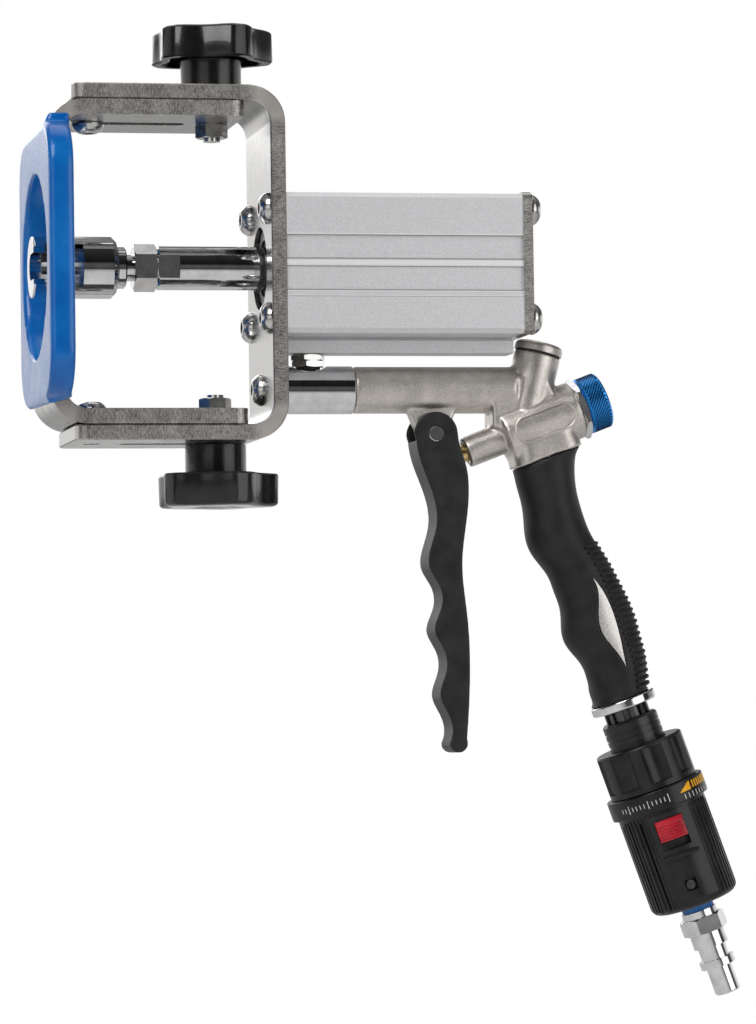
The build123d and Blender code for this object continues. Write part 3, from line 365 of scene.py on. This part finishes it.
# ---------------------------------------------------------------- modelling tools
def alone(piece):
    """Make one object the only one selected, and active."""
    if bpy.context.object and bpy.context.object.mode != "OBJECT":
        bpy.ops.object.mode_set(mode="OBJECT")
    bpy.ops.object.select_all(action="DESELECT")
    piece.hide_set(False)
    piece.select_set(True)
    bpy.context.view_layer.objects.active = piece


def start(add, **settings):
    """Add a primitive at the origin, with nothing else selected, and go into edit mode."""
    settings.setdefault("location", (0, 0, 0))
    if bpy.context.object and bpy.context.object.mode != "OBJECT":
        bpy.ops.object.mode_set(mode="OBJECT")
    bpy.ops.object.select_all(action="DESELECT")
    add(**settings)
    piece = bpy.context.object
    bpy.ops.object.mode_set(mode="EDIT")
    return piece


def pick(piece, test, mode="VERT"):
    """Select the vertices, or faces, that pass a test on their place and normal."""
    bpy.ops.object.mode_set(mode="OBJECT")
    mesh = piece.data
    for group in (mesh.vertices, mesh.edges, mesh.polygons):
        group.foreach_set("select", [False] * len(group))
    for item in mesh.vertices if mode == "VERT" else mesh.polygons:
        item.select = test(item)
    bpy.ops.object.mode_set(mode="EDIT")
    bpy.ops.mesh.select_mode(type=mode)


def step(up=0.0, scale=1.0):
    """Extrude what is selected along z and scale it about the axis, in mm."""
    bpy.ops.mesh.extrude_region_move(TRANSFORM_OT_translate={"value": (0, 0, up * MM)})
    if scale != 1.0:
        bpy.ops.transform.resize(value=(scale, scale, 1), center_override=(0, 0, 0))


def use(piece, kind, **settings):
    """Add a modifier and apply it."""
    alone(piece)
    modifier = piece.modifiers.new(kind.title(), kind)
    for name, value in settings.items():
        setattr(modifier, name, value)
    bpy.ops.object.modifier_apply(modifier=modifier.name)


def complete(piece, name, body, slot, materials, matrix=None, replaced=(), smooth=35):
    """Put a piece in place, fix its normals, and tie it to its body, slot and finish."""
    alone(piece)
    if matrix is not None:
        piece.matrix_world = matrix @ piece.matrix_world
    bpy.ops.object.transform_apply(location=True, rotation=True, scale=True)
    bpy.ops.object.mode_set(mode="EDIT")
    bpy.ops.mesh.select_all(action="SELECT")
    bpy.ops.mesh.remove_doubles(threshold=1e-6)
    bpy.ops.mesh.normals_make_consistent(inside=False)
    bpy.ops.object.mode_set(mode="OBJECT")
    bpy.ops.object.shade_smooth_by_angle(angle=math.radians(smooth))
    piece.name = name
    piece.data.name = name
    piece.data.materials.clear()
    piece.data.materials.append(materials[slot])
    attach(piece, body)
    if replaced:
        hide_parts(*replaced)
    return piece


def joined(pieces):
    """Make several objects one."""
    alone(pieces[0])
    for piece in pieces:
        piece.select_set(True)
    if len(pieces) > 1:
        bpy.ops.object.join()
    return bpy.context.object


def twin(piece, matrix):
    """A copy of a piece, with its own mesh, at another place."""
    copy = piece.copy()
    copy.data = piece.data.copy()
    bpy.context.scene.collection.objects.link(copy)
    copy.matrix_world = matrix @ piece.matrix_world
    return copy


def softened(node, voxel, rounds, cuts=()):
    """A CAD piece's form with its edges and corners melted together, less what lies past each cut."""
    source = NODES[node]
    piece = bpy.data.objects.new(node + "_form", source.data.copy())
    bpy.context.scene.collection.objects.link(piece)
    alone(piece)
    bpy.ops.object.mode_set(mode="EDIT")
    bpy.ops.mesh.select_all(action="SELECT")
    bpy.ops.mesh.remove_doubles(threshold=2e-6)
    bpy.ops.mesh.normals_make_consistent(inside=False)
    for point, outward in cuts:
        bpy.ops.mesh.select_all(action="SELECT")
        bpy.ops.mesh.bisect(plane_co=point, plane_no=outward, use_fill=True, clear_outer=True)
    bpy.ops.object.mode_set(mode="OBJECT")
    use(piece, "REMESH", mode="VOXEL", voxel_size=voxel * MM)
    use(piece, "SMOOTH", factor=0.5, iterations=rounds)
    return piece


class FinishSet:
    """The finishes, made once when the first operator asks for them."""

    made = {}

    @classmethod
    def get(cls):
        if not cls.made:
            cls.made.update(finishes(bpy.context.scene.capping_press))
        return cls.made


# ---------------------------------------------------------------- sizes and colours a user may change
class CappingPressSettings(bpy.types.PropertyGroup):
    """Colours and counts of the press."""

    steel: bpy.props.FloatVectorProperty(
        name="Plating", description="Colour of the plated brackets",
        subtype="COLOR", default=(0.66, 0.65, 0.63),
    )
    aluminium: bpy.props.FloatVectorProperty(
        name="Cylinder", description="Colour of the anodised cylinder",
        subtype="COLOR", default=(0.86, 0.865, 0.88),
    )
    nickel: bpy.props.FloatVectorProperty(
        name="Handle", description="Colour of the cast handle",
        subtype="COLOR", default=(0.80, 0.75, 0.70),
    )
    blue: bpy.props.FloatVectorProperty(
        name="Jaw", description="Colour of the dipped jaw",
        subtype="COLOR", default=(0.0, 0.15, 0.5),
    )
    knob: bpy.props.FloatVectorProperty(
        name="Flow knob", description="Colour of the knurled knob",
        subtype="COLOR", default=(0.03, 0.30, 0.78),
    )
    lobes: bpy.props.IntProperty(
        name="Knob lobes", description="Lobes on each clamp knob", default=5, min=3
    )
    ribs: bpy.props.IntProperty(
        name="Grip ribs", description="Ribs down the back of the grip", default=25, min=2
    )
    knurls: bpy.props.IntProperty(
        name="Knurls", description="Knurls around the blue knob", default=44, min=12
    )


# ---------------------------------------------------------------- pieces
class PRESS_OT_finishes(bpy.types.Operator):
    """Give every CAD piece its finish"""

    bl_idname = "press.finishes"
    bl_label = "Finishes"

    def execute(self, context):
        materials = FinishSet.get()
        for row in frame["record"]["subparts"]:
            mesh = NODES[row["node"]].data
            mesh.materials.clear()
            mesh.materials.append(materials[row["material_slot"]])
        return {"FINISHED"}


class PRESS_OT_clamp_knobs(bpy.types.Operator):
    """Model the two star knobs with their dished undersides"""

    bl_idname = "press.clamp_knobs"
    bl_label = "Clamp knobs"
    front = 69.5  # direction of the lobe that faces the user, in degrees

    def execute(self, context):
        lobes = context.scene.capping_press.lobes
        around = 20
        count = lobes * around
        radius, valley = 27.8, 5.2
        base = 14.0  # height of the lobes' underside over the bracket

        def phase_of(v):
            return round(math.atan2(v.co.y, v.co.x) / math.tau * count) % around

        height = (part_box("upper_clamp_knob")[1].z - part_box("rear_bracket")[1].z) / MM - base
        head = start(bpy.ops.mesh.primitive_circle_add, vertices=count, radius=radius * MM, fill_type="NGON")
        for phase in range(around):
            off = min(phase, around - phase) / (around / 2)
            dip = math.sin(max(0.0, off - 0.2) / 0.8 * math.pi / 2) ** 1.2
            k = 1 - dip * valley / radius
            pick(head, lambda v, p=phase: phase_of(v) == p)
            bpy.ops.transform.resize(value=(k, k, 1), center_override=(0, 0, 0))
        bpy.ops.mesh.select_all(action="SELECT")
        bpy.ops.transform.rotate(value=math.radians(self.front), orient_axis="Z", center_override=(0, 0, 0))
        bpy.ops.mesh.select_mode(type="FACE")
        crown = (
            (0.8, 1 / 0.975), (height - 2.4, 0.99), (0.9, 0.975), (0.5, 0.96),
            (0.2, 0.9), (0.0, 0.6), (-0.5, 0.5),
        )
        for up, scale in crown:
            step(up, scale)
        pick(head, lambda p: abs(p.center.z) < 1e-6 and len(p.vertices) > 4, "FACE")
        for up, scale in ((0.0, 0.87), (0.6, 0.97), (6.5, 0.95), (0.6, 0.8)):
            step(up, scale)
        bpy.ops.object.mode_set(mode="OBJECT")
        head.matrix_world = Matrix.Translation((0, 0, base * MM))
        hub_r, hub_foot_r = 14.0, 13.4
        hub = start(bpy.ops.mesh.primitive_circle_add, vertices=64, radius=hub_foot_r * MM, fill_type="NGON")
        bpy.ops.mesh.select_mode(type="FACE")
        for up, scale in ((0.5, hub_r / hub_foot_r), (base - 2.5, 1.0), (2.0, 1.03)):
            step(up, scale)
        bpy.ops.object.mode_set(mode="OBJECT")
        hub.matrix_world = Matrix.Translation((0, 0, 0.3 * MM))
        knob = joined([head, hub])
        alone(knob)
        bpy.ops.object.transform_apply(location=True, rotation=True, scale=True)
        lower = twin(knob, Matrix.Identity(4))
        materials = FinishSet.get()
        for piece, side, matrix in ((knob, "upper", UPPER_SEAT), (lower, "lower", LOWER_SEAT)):
            complete(
                piece, f"{side}_star_knob", f"{side}_clamp", "black_phenolic", materials, matrix,
                [f"{side}_clamp_knob"],
            )
        return {"FINISHED"}


class PRESS_OT_flow_knob(bpy.types.Operator):
    """Model the knurled blue knob"""

    bl_idname = "press.flow_knob"
    bl_label = "Flow knob"

    def execute(self, context):
        around = 2 * context.scene.capping_press.knurls
        radius, length, rows = 13.2, 10.4, 12
        chamfer, end = 0.8, 0.93  # its height in mm, and the end's share of the radius
        pitch = (length - 2 * chamfer) / rows
        knob = start(
            bpy.ops.mesh.primitive_circle_add, vertices=around, radius=radius * end * MM, fill_type="NGON"
        )
        bpy.ops.mesh.select_mode(type="FACE")
        step(chamfer, 1 / end)
        for _ in range(rows):
            step(pitch)
        step(chamfer, end)
        step(0.0, 0.8)
        step(-0.5, 0.97)

        def is_valley(v):
            flat = math.hypot(v.co.x, v.co.y) > radius * 0.97 * MM
            row = round((v.co.z / MM - chamfer) / pitch)
            turn_at = round(math.atan2(v.co.y, v.co.x) / math.tau * around)
            return flat and 0 < row < rows and (row + turn_at) % 2 == 0

        pick(knob, is_valley)
        bpy.ops.transform.resize(value=(0.95, 0.95, 1), center_override=(0, 0, 0))
        at = VALVE @ Matrix.Translation((0, 0, self.seat() * MM))
        bpy.ops.object.mode_set(mode="OBJECT")
        materials = FinishSet.get()
        complete(knob, "knurled_knob", "flow_control", "blue_anodised", materials, at, ["flow_knob"], 20)
        return {"FINISHED"}

    def seat(self):
        """How far along the valve's axis the knob starts, in mm."""
        turned = VALVE.inverted()
        return min((turned @ v.co).z for v in NODES["flow_knob"].data.vertices) / MM


class PRESS_OT_castings(bpy.types.Operator):
    """Model the cast handle, the trigger, the dipped jaw and the grip with their soft edges"""

    bl_idname = "press.castings"
    bl_label = "Soft-edged pieces"

    def execute(self, context):
        materials = FinishSet.get()
        low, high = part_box("jaw_coating")
        # where the dip stops: on the arm, and at the foot
        dip_ends = (
            ((high.x - 3.2 * MM, 0, 0), (1, 0, 0)),
            ((low.x, 0, low.z + 2.4 * MM), (0.27, 0.03, -0.96)),
        )
        # CAD piece, new piece, body, slot, voxel in mm, rounds of smoothing, cuts
        rows = (
            ("handle_body", "handle_casting", "frame", "satin_nickel", 0.6, 14, ()),
            ("trigger_lever", "trigger_casting", "trigger", "black_enamel", 0.55, 5, ()),
            ("jaw_coating", "jaw_dip", "jaw", "blue_vinyl", 0.8, 18, dip_ends),
            ("grip_sleeve", "grip_moulding", "frame", "black_grip", 0.7, 5, ()),
        )
        for node, name, body, slot, voxel, rounds, cuts in rows:
            piece = softened(node, voxel, rounds, cuts)
            if node == "grip_sleeve":
                self.fill_front(piece)
            complete(piece, name, body, slot, materials, None, [node], 60)
        return {"FINISHED"}

    def fill_front(self, piece):
        """Carry the grip's front edge straight down to its ring."""
        around, reach, push = 113.5, 9.0, 2.3
        turned = GRIP.inverted()
        for vertex in piece.data.vertices:
            place = turned @ vertex.co
            near = max(0.0, 1 - abs(place.z / MM - around) / reach)
            ahead = max(0.0, min(1.0, (-4 - place.x / MM) / 6))
            place.x -= push * MM * ahead * near * near * (3 - 2 * near)
            vertex.co = GRIP @ place


class PRESS_OT_valve_coil(bpy.types.Operator):
    """Make the valve's spring a piece of its own, finished as spring wire"""

    bl_idname = "press.valve_coil"
    bl_label = "Valve coil"
    travel = 3.0  # of the stem at the trigger's limit, in mm

    def execute(self, context):
        coil = bpy.data.objects.new("coil", NODES["valve_spring"].data.copy())
        context.scene.collection.objects.link(coil)
        complete(coil, "valve_coil", "frame", "spring_steel", FinishSet.get(), None, ["valve_spring"])
        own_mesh(coil)
        return {"FINISHED"}


class PRESS_OT_outlines(bpy.types.Operator):
    """Model the raised outline on each side of the valve body"""

    bl_idname = "press.outlines"
    bl_label = "Casting outlines"

    def execute(self, context):
        outlines = []
        radius, stretch, thick = 6.0, 8.8, 0.65
        along, out = 37.5, 12.9
        for side in (1, -1):
            ring = start(bpy.ops.mesh.primitive_circle_add, vertices=48, radius=radius * MM)
            for end in (1, -1):
                pick(ring, lambda v, e=end: e * v.co.x > 1e-6)
                bpy.ops.transform.translate(value=(end * stretch * MM, 0, 0))
            bpy.ops.object.mode_set(mode="OBJECT")
            alone(ring)
            bpy.ops.object.convert(target="CURVE")
            ring = bpy.context.object
            ring.data.bevel_depth = thick * MM
            ring.data.bevel_resolution = 2
            bpy.ops.object.convert(target="MESH")
            ring = bpy.context.object
            place = placed((0, 0, 0), (0, -side, 0), VALVE_DIR)
            centre = (VALVE_NOSE + along * Vector(VALVE_DIR)) * MM
            ring.matrix_world = Matrix.Translation(centre + Vector((0, -side * out * MM, 0))) @ place
            outlines.append(ring)
        complete(joined(outlines), "casting_outlines", "frame", "satin_nickel", FinishSet.get())
        return {"FINISHED"}


class PRESS_OT_grip_ribs(bpy.types.Operator):
    """Model the ribs down the back of the grip"""

    bl_idname = "press.grip_ribs"
    bl_label = "Grip ribs"

    def execute(self, context):
        count = context.scene.capping_press.ribs
        first, last = 45.2, 114.0
        reach = 68
        sleeve = [GRIP.inverted() @ v.co for v in NODES["grip_sleeve"].data.vertices]
        # down the axis, front edge, back edge
        sections = (
            (45, -14.3, 13.6), (48, -14.0, 14.2), (57, -12.7, 16.1), (66, -12.7, 17.3), (75, -14.9, 18.4),
            (84, -16.3, 18.6), (92, -13.7, 17.8), (100, -12.0, 17.2), (108, -12.2, 15.5), (117, -13.9, 13.4),
        )
        half_depth = 14.8
        rib = start(bpy.ops.mesh.primitive_circle_add, vertices=12, radius=0.85 * MM)
        bpy.ops.transform.rotate(value=math.pi / 2, orient_axis="X", center_override=(0, 0, 0))
        bpy.ops.transform.translate(value=(half_depth * MM, 0, 0))
        bpy.ops.transform.rotate(value=-math.radians(reach), orient_axis="Z", center_override=(0, 0, 0))
        bpy.ops.mesh.spin(steps=24, angle=math.radians(2 * reach), center=(0, 0, 0), axis=(0, 0, 1))
        bpy.ops.object.mode_set(mode="OBJECT")
        angles = [math.atan2(v.co.y, v.co.x) for v in rib.data.vertices]
        if max(angles) < math.radians(reach - 4):
            raise RuntimeError("the rib was not spun to both sides of the grip")
        bpy.ops.object.mode_set(mode="EDIT")
        bpy.ops.mesh.select_all(action="DESELECT")
        bpy.ops.mesh.select_mode(type="EDGE")
        bpy.ops.mesh.select_non_manifold()
        bpy.ops.mesh.edge_face_add()
        bpy.ops.object.mode_set(mode="OBJECT")
        ribs = []
        for i in range(count):
            down = first + (last - first) * i / (count - 1)
            for (a, front_a, back_a), (b, front_b, back_b) in zip(sections, sections[1:]):
                if a <= down <= b:
                    t = (down - a) / (b - a)
                    front = front_a + t * (front_b - front_a)
                    back = back_a + t * (back_b - back_a)
            half = (back - front) / 2
            side = max(abs(v.y) for v in sleeve if abs(v.z / MM - down) < 3) / MM
            place = (
                Matrix.Translation(((front + back) / 2 * MM, 0, down * MM))
                @ Matrix.Diagonal((half / half_depth, side / half_depth, 1.0, 1.0))
            )
            ribs.append(twin(rib, GRIP @ place))
        bpy.data.objects.remove(rib)
        complete(joined(ribs), "grip_ribs", "frame", "black_grip", FinishSet.get())
        return {"FINISHED"}


class PRESS_OT_regulator_marks(bpy.types.Operator):
    """Model the scale ring's ticks and wedge, and the slider's ridges"""

    bl_idname = "press.regulator_marks"
    bl_label = "Regulator marks"

    def execute(self, context):
        materials = FinishSet.get()

        def block(width, height, depth, angle, radius, down):
            """A bevelled block on the regulator, in mm, at a direction in degrees."""
            piece = start(bpy.ops.mesh.primitive_cube_add, size=1.0)
            bpy.ops.transform.resize(value=(depth * MM, width * MM, height * MM))
            bpy.ops.mesh.bevel(offset=0.12 * MM, segments=2)
            bpy.ops.object.mode_set(mode="OBJECT")
            out = Matrix.Translation((radius * MM, 0, down * MM))
            piece.matrix_world = REGULATOR @ Matrix.Rotation(math.radians(angle), 4, "Z") @ out
            return piece

        ring = 23.2 - 0.12  # the scale ring's radius, less what a mark is sunk into it
        ticks = [block(0.5, 2.6, 0.5, 24 + 6 * i, ring, 49.0) for i in range(9)]
        ticks += [block(0.5, 4.0 if i % 5 == 0 else 2.2, 0.5, 92 + 5 * i, ring, 46.6) for i in range(13)]
        complete(joined(ticks), "scale_ticks", "frame", "silver_inlay", materials)
        bars = [block(0.9, 3.4, 0.5, 56 - 4.6 * i, ring, 44.7) for i in range(8)]
        bars += [block(1.1, 0.8 + 0.62 * i, 0.5, 75 - 2.6 * i, ring, 46.4 - 0.31 * i) for i in range(6)]
        complete(joined(bars), "scale_wedge", "frame", "orange_paint", materials)
        front = 90 + math.degrees(math.asin(4 / 22.2))  # the slider's direction
        pairs = [(i, side) for i in range(5) for side in (-1, 1)]
        ridges = [block(5.7, 0.75, 0.9, front + side * 7.9, 22.15, 59.4 + 1.4 * i) for i, side in pairs]
        ridges.append(block(12.4, 2.4, 0.5, front, 22.1, 57.0))
        complete(joined(ridges), "slider_ridges", "lock", "red_plastic", materials)
        angles = [front + side * (34 + 6.5 * i) for side in (-1, 1) for i in range(6)]
        fins = [block(1.1, 44.0, 0.8, angle, 20.85, 74.5) for angle in angles]
        fins.append(block(17.6, 1.8, 2.2, front, 21.6, 73.4))
        complete(joined(fins), "housing_fins", "frame", "black_plastic", materials)
        return {"FINISHED"}


class PRESS_OT_stage(bpy.types.Operator):
    """Set up the floor, the lights and the camera"""

    bl_idname = "press.stage"
    bl_label = "Stage"

    def execute(self, context):
        scene = context.scene
        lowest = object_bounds()[0][2]
        floor = start(bpy.ops.mesh.primitive_plane_add, size=7.0, location=(0, 0, lowest - 0.27))
        bpy.ops.mesh.subdivide(number_cuts=4)
        bpy.ops.object.mode_set(mode="OBJECT")
        f = Finish("studio floor", Roughness=0.8)
        f.set("Base Color", f.mix(f.noise(400, 2), (0.86, 0.86, 0.86), (0.92, 0.92, 0.92)))
        seen = f.node("ShaderNodeLightPath", out="Is Camera Ray")
        glow = f.node("ShaderNodeEmission", None, {"Color": (1, 1, 1, 1)})
        output = f.tree.nodes["Material Output"]
        lit = Value(f, f.surface.outputs[0])
        blend = f.node("ShaderNodeMixShader", None, {0: seen * 0.85, 1: lit, 2: glow})
        f.tree.links.new(blend.socket, output.inputs["Surface"])
        floor.name = "floor"
        floor.data.materials.append(f.material)
        floor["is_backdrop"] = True

        world = scene.world or bpy.data.worlds.new("studio")
        scene.world = world
        world.use_nodes = True
        tree = world.node_tree
        # a bright band of horizon under and over darker parts
        direction = tree.nodes.new("ShaderNodeTexCoord")
        split = tree.nodes.new("ShaderNodeSeparateXYZ")
        shade = tree.nodes.new("ShaderNodeValToRGB")
        height = tree.nodes.new("ShaderNodeMapRange")
        height.inputs["From Min"].default_value = -1.0
        tree.links.new(direction.outputs["Generated"], split.inputs[0])
        tree.links.new(split.outputs["Z"], height.inputs["Value"])
        tree.links.new(height.outputs["Result"], shade.inputs["Fac"])
        # white where the camera sees past the tool
        seen = tree.nodes.new("ShaderNodeLightPath")
        plain = tree.nodes.new("ShaderNodeMix")
        plain.data_type = "RGBA"
        plain.inputs[7].default_value = (1, 1, 1, 1)
        tree.links.new(seen.outputs["Is Camera Ray"], plain.inputs[0])

        def sums(operation, a, b, clamp=False):
            """A Math node's result."""
            made = tree.nodes.new("ShaderNodeMath")
            made.operation = operation
            made.use_clamp = clamp
            for index, value in enumerate((a, b)):
                if isinstance(value, (int, float)):
                    made.inputs[index].default_value = value
                else:
                    tree.links.new(value, made.inputs[index])
            return made.outputs[0]

        # bright to both sides and beyond the tool, dark behind the camera
        aside = sums("ABSOLUTE", split.outputs["X"], 0)
        inner = sums("MULTIPLY", sums("SUBTRACT", aside, 0.24), 7.0, True)
        outer = sums("MULTIPLY", sums("SUBTRACT", 0.9, aside), 6.0, True)
        aside = sums("MULTIPLY", inner, outer)
        behind = sums("MULTIPLY", sums("ADD", split.outputs["Y"], 0.1), 5.0, True)
        open_side = sums("MAXIMUM", aside, behind)
        strength = sums("ADD", sums("MULTIPLY", open_side, 1.15), 0.12)
        dimmed = tree.nodes.new("ShaderNodeVectorMath")
        dimmed.operation = "SCALE"
        tree.links.new(shade.outputs["Color"], dimmed.inputs[0])
        tree.links.new(strength, dimmed.inputs["Scale"])
        tree.links.new(dimmed.outputs[0], plain.inputs[6])
        tree.links.new(plain.outputs[2], tree.nodes["Background"].inputs["Color"])
        stops = shade.color_ramp.elements
        stops[0].position, stops[0].color = 0.0, (0.3, 0.3, 0.3, 1)
        stops[1].position, stops[1].color = 1.0, (0.3, 0.3, 0.3, 1)
        for position, level in ((0.42, 0.04), (0.46, 0.75), (0.58, 0.8), (0.64, 0.08), (0.8, 0.14)):
            stop = stops.new(position)
            stop.color = (level, level, level, 1)
        scene.view_settings.view_transform = "Standard"

        middle = Vector((0.12, 0, -0.1))
        for name, place, size, power in (
            ("key", (-0.9, -1.4, 1.5), 1.2, 30),
            ("fill", (1.6, -1.5, 0.4), 1.6, 10),
            ("top", (0.2, 0.5, 1.8), 1.4, 6),
            ("back", (-0.3, 1.9, 0.9), 1.2, 9),
        ):
            light = bpy.data.lights.new(name, "AREA")
            light.size = size
            light.energy = power
            lamp = bpy.data.objects.new(name, light)
            lamp.location = place
            lamp.rotation_euler = (middle - Vector(place)).to_track_quat("-Z", "Y").to_euler()
            scene.collection.objects.link(lamp)

        lens = bpy.data.cameras.new("camera")
        lens.lens = 162.97
        lens.sensor_width = 36
        lens.sensor_fit = "AUTO"
        camera = bpy.data.objects.new("camera", lens)
        right = Vector((0.98006, -0.19817, -0.01471))
        up = Vector((0.00504, -0.04924, 0.99878))
        ahead = Vector((0.19865, 0.97893, 0.04727))
        turned = Matrix((right, up, -ahead)).transposed().to_4x4()
        camera.matrix_world = Matrix.Translation((-0.2644, -2.0875, -0.2128)) @ turned
        scene.collection.objects.link(camera)
        scene.camera = camera
        return {"FINISHED"}


class PRESS_PT_panel(bpy.types.Panel):
    """The press's pieces in the sidebar"""

    bl_label = "Capping press"
    bl_idname = "PRESS_PT_panel"
    bl_space_type = "VIEW_3D"
    bl_region_type = "UI"
    bl_category = "Capping press"

    def draw(self, context):
        for name in ("steel", "aluminium", "nickel", "blue", "knob", "lobes", "ribs", "knurls"):
            self.layout.prop(context.scene.capping_press, name)
        for operator in OPERATORS:
            self.layout.operator(operator.bl_idname)


OPERATORS = (
    PRESS_OT_finishes,
    PRESS_OT_castings,
    PRESS_OT_clamp_knobs,
    PRESS_OT_flow_knob,
    PRESS_OT_valve_coil,
    PRESS_OT_outlines,
    PRESS_OT_grip_ribs,
    PRESS_OT_regulator_marks,
    PRESS_OT_stage,
)
CLASSES = (CappingPressSettings, *OPERATORS, PRESS_PT_panel)


def register():
    for cls in CLASSES:
        bpy.utils.register_class(cls)
    bpy.types.Scene.capping_press = bpy.props.PointerProperty(type=CappingPressSettings)


def unregister():
    del bpy.types.Scene.capping_press
    for cls in reversed(CLASSES):
        bpy.utils.unregister_class(cls)


def main():
    register()
    for operator in OPERATORS:
        group, name = operator.bl_idname.split(".")
        getattr(getattr(bpy.ops, group), name)()


if __name__ == "__main__":
    main()
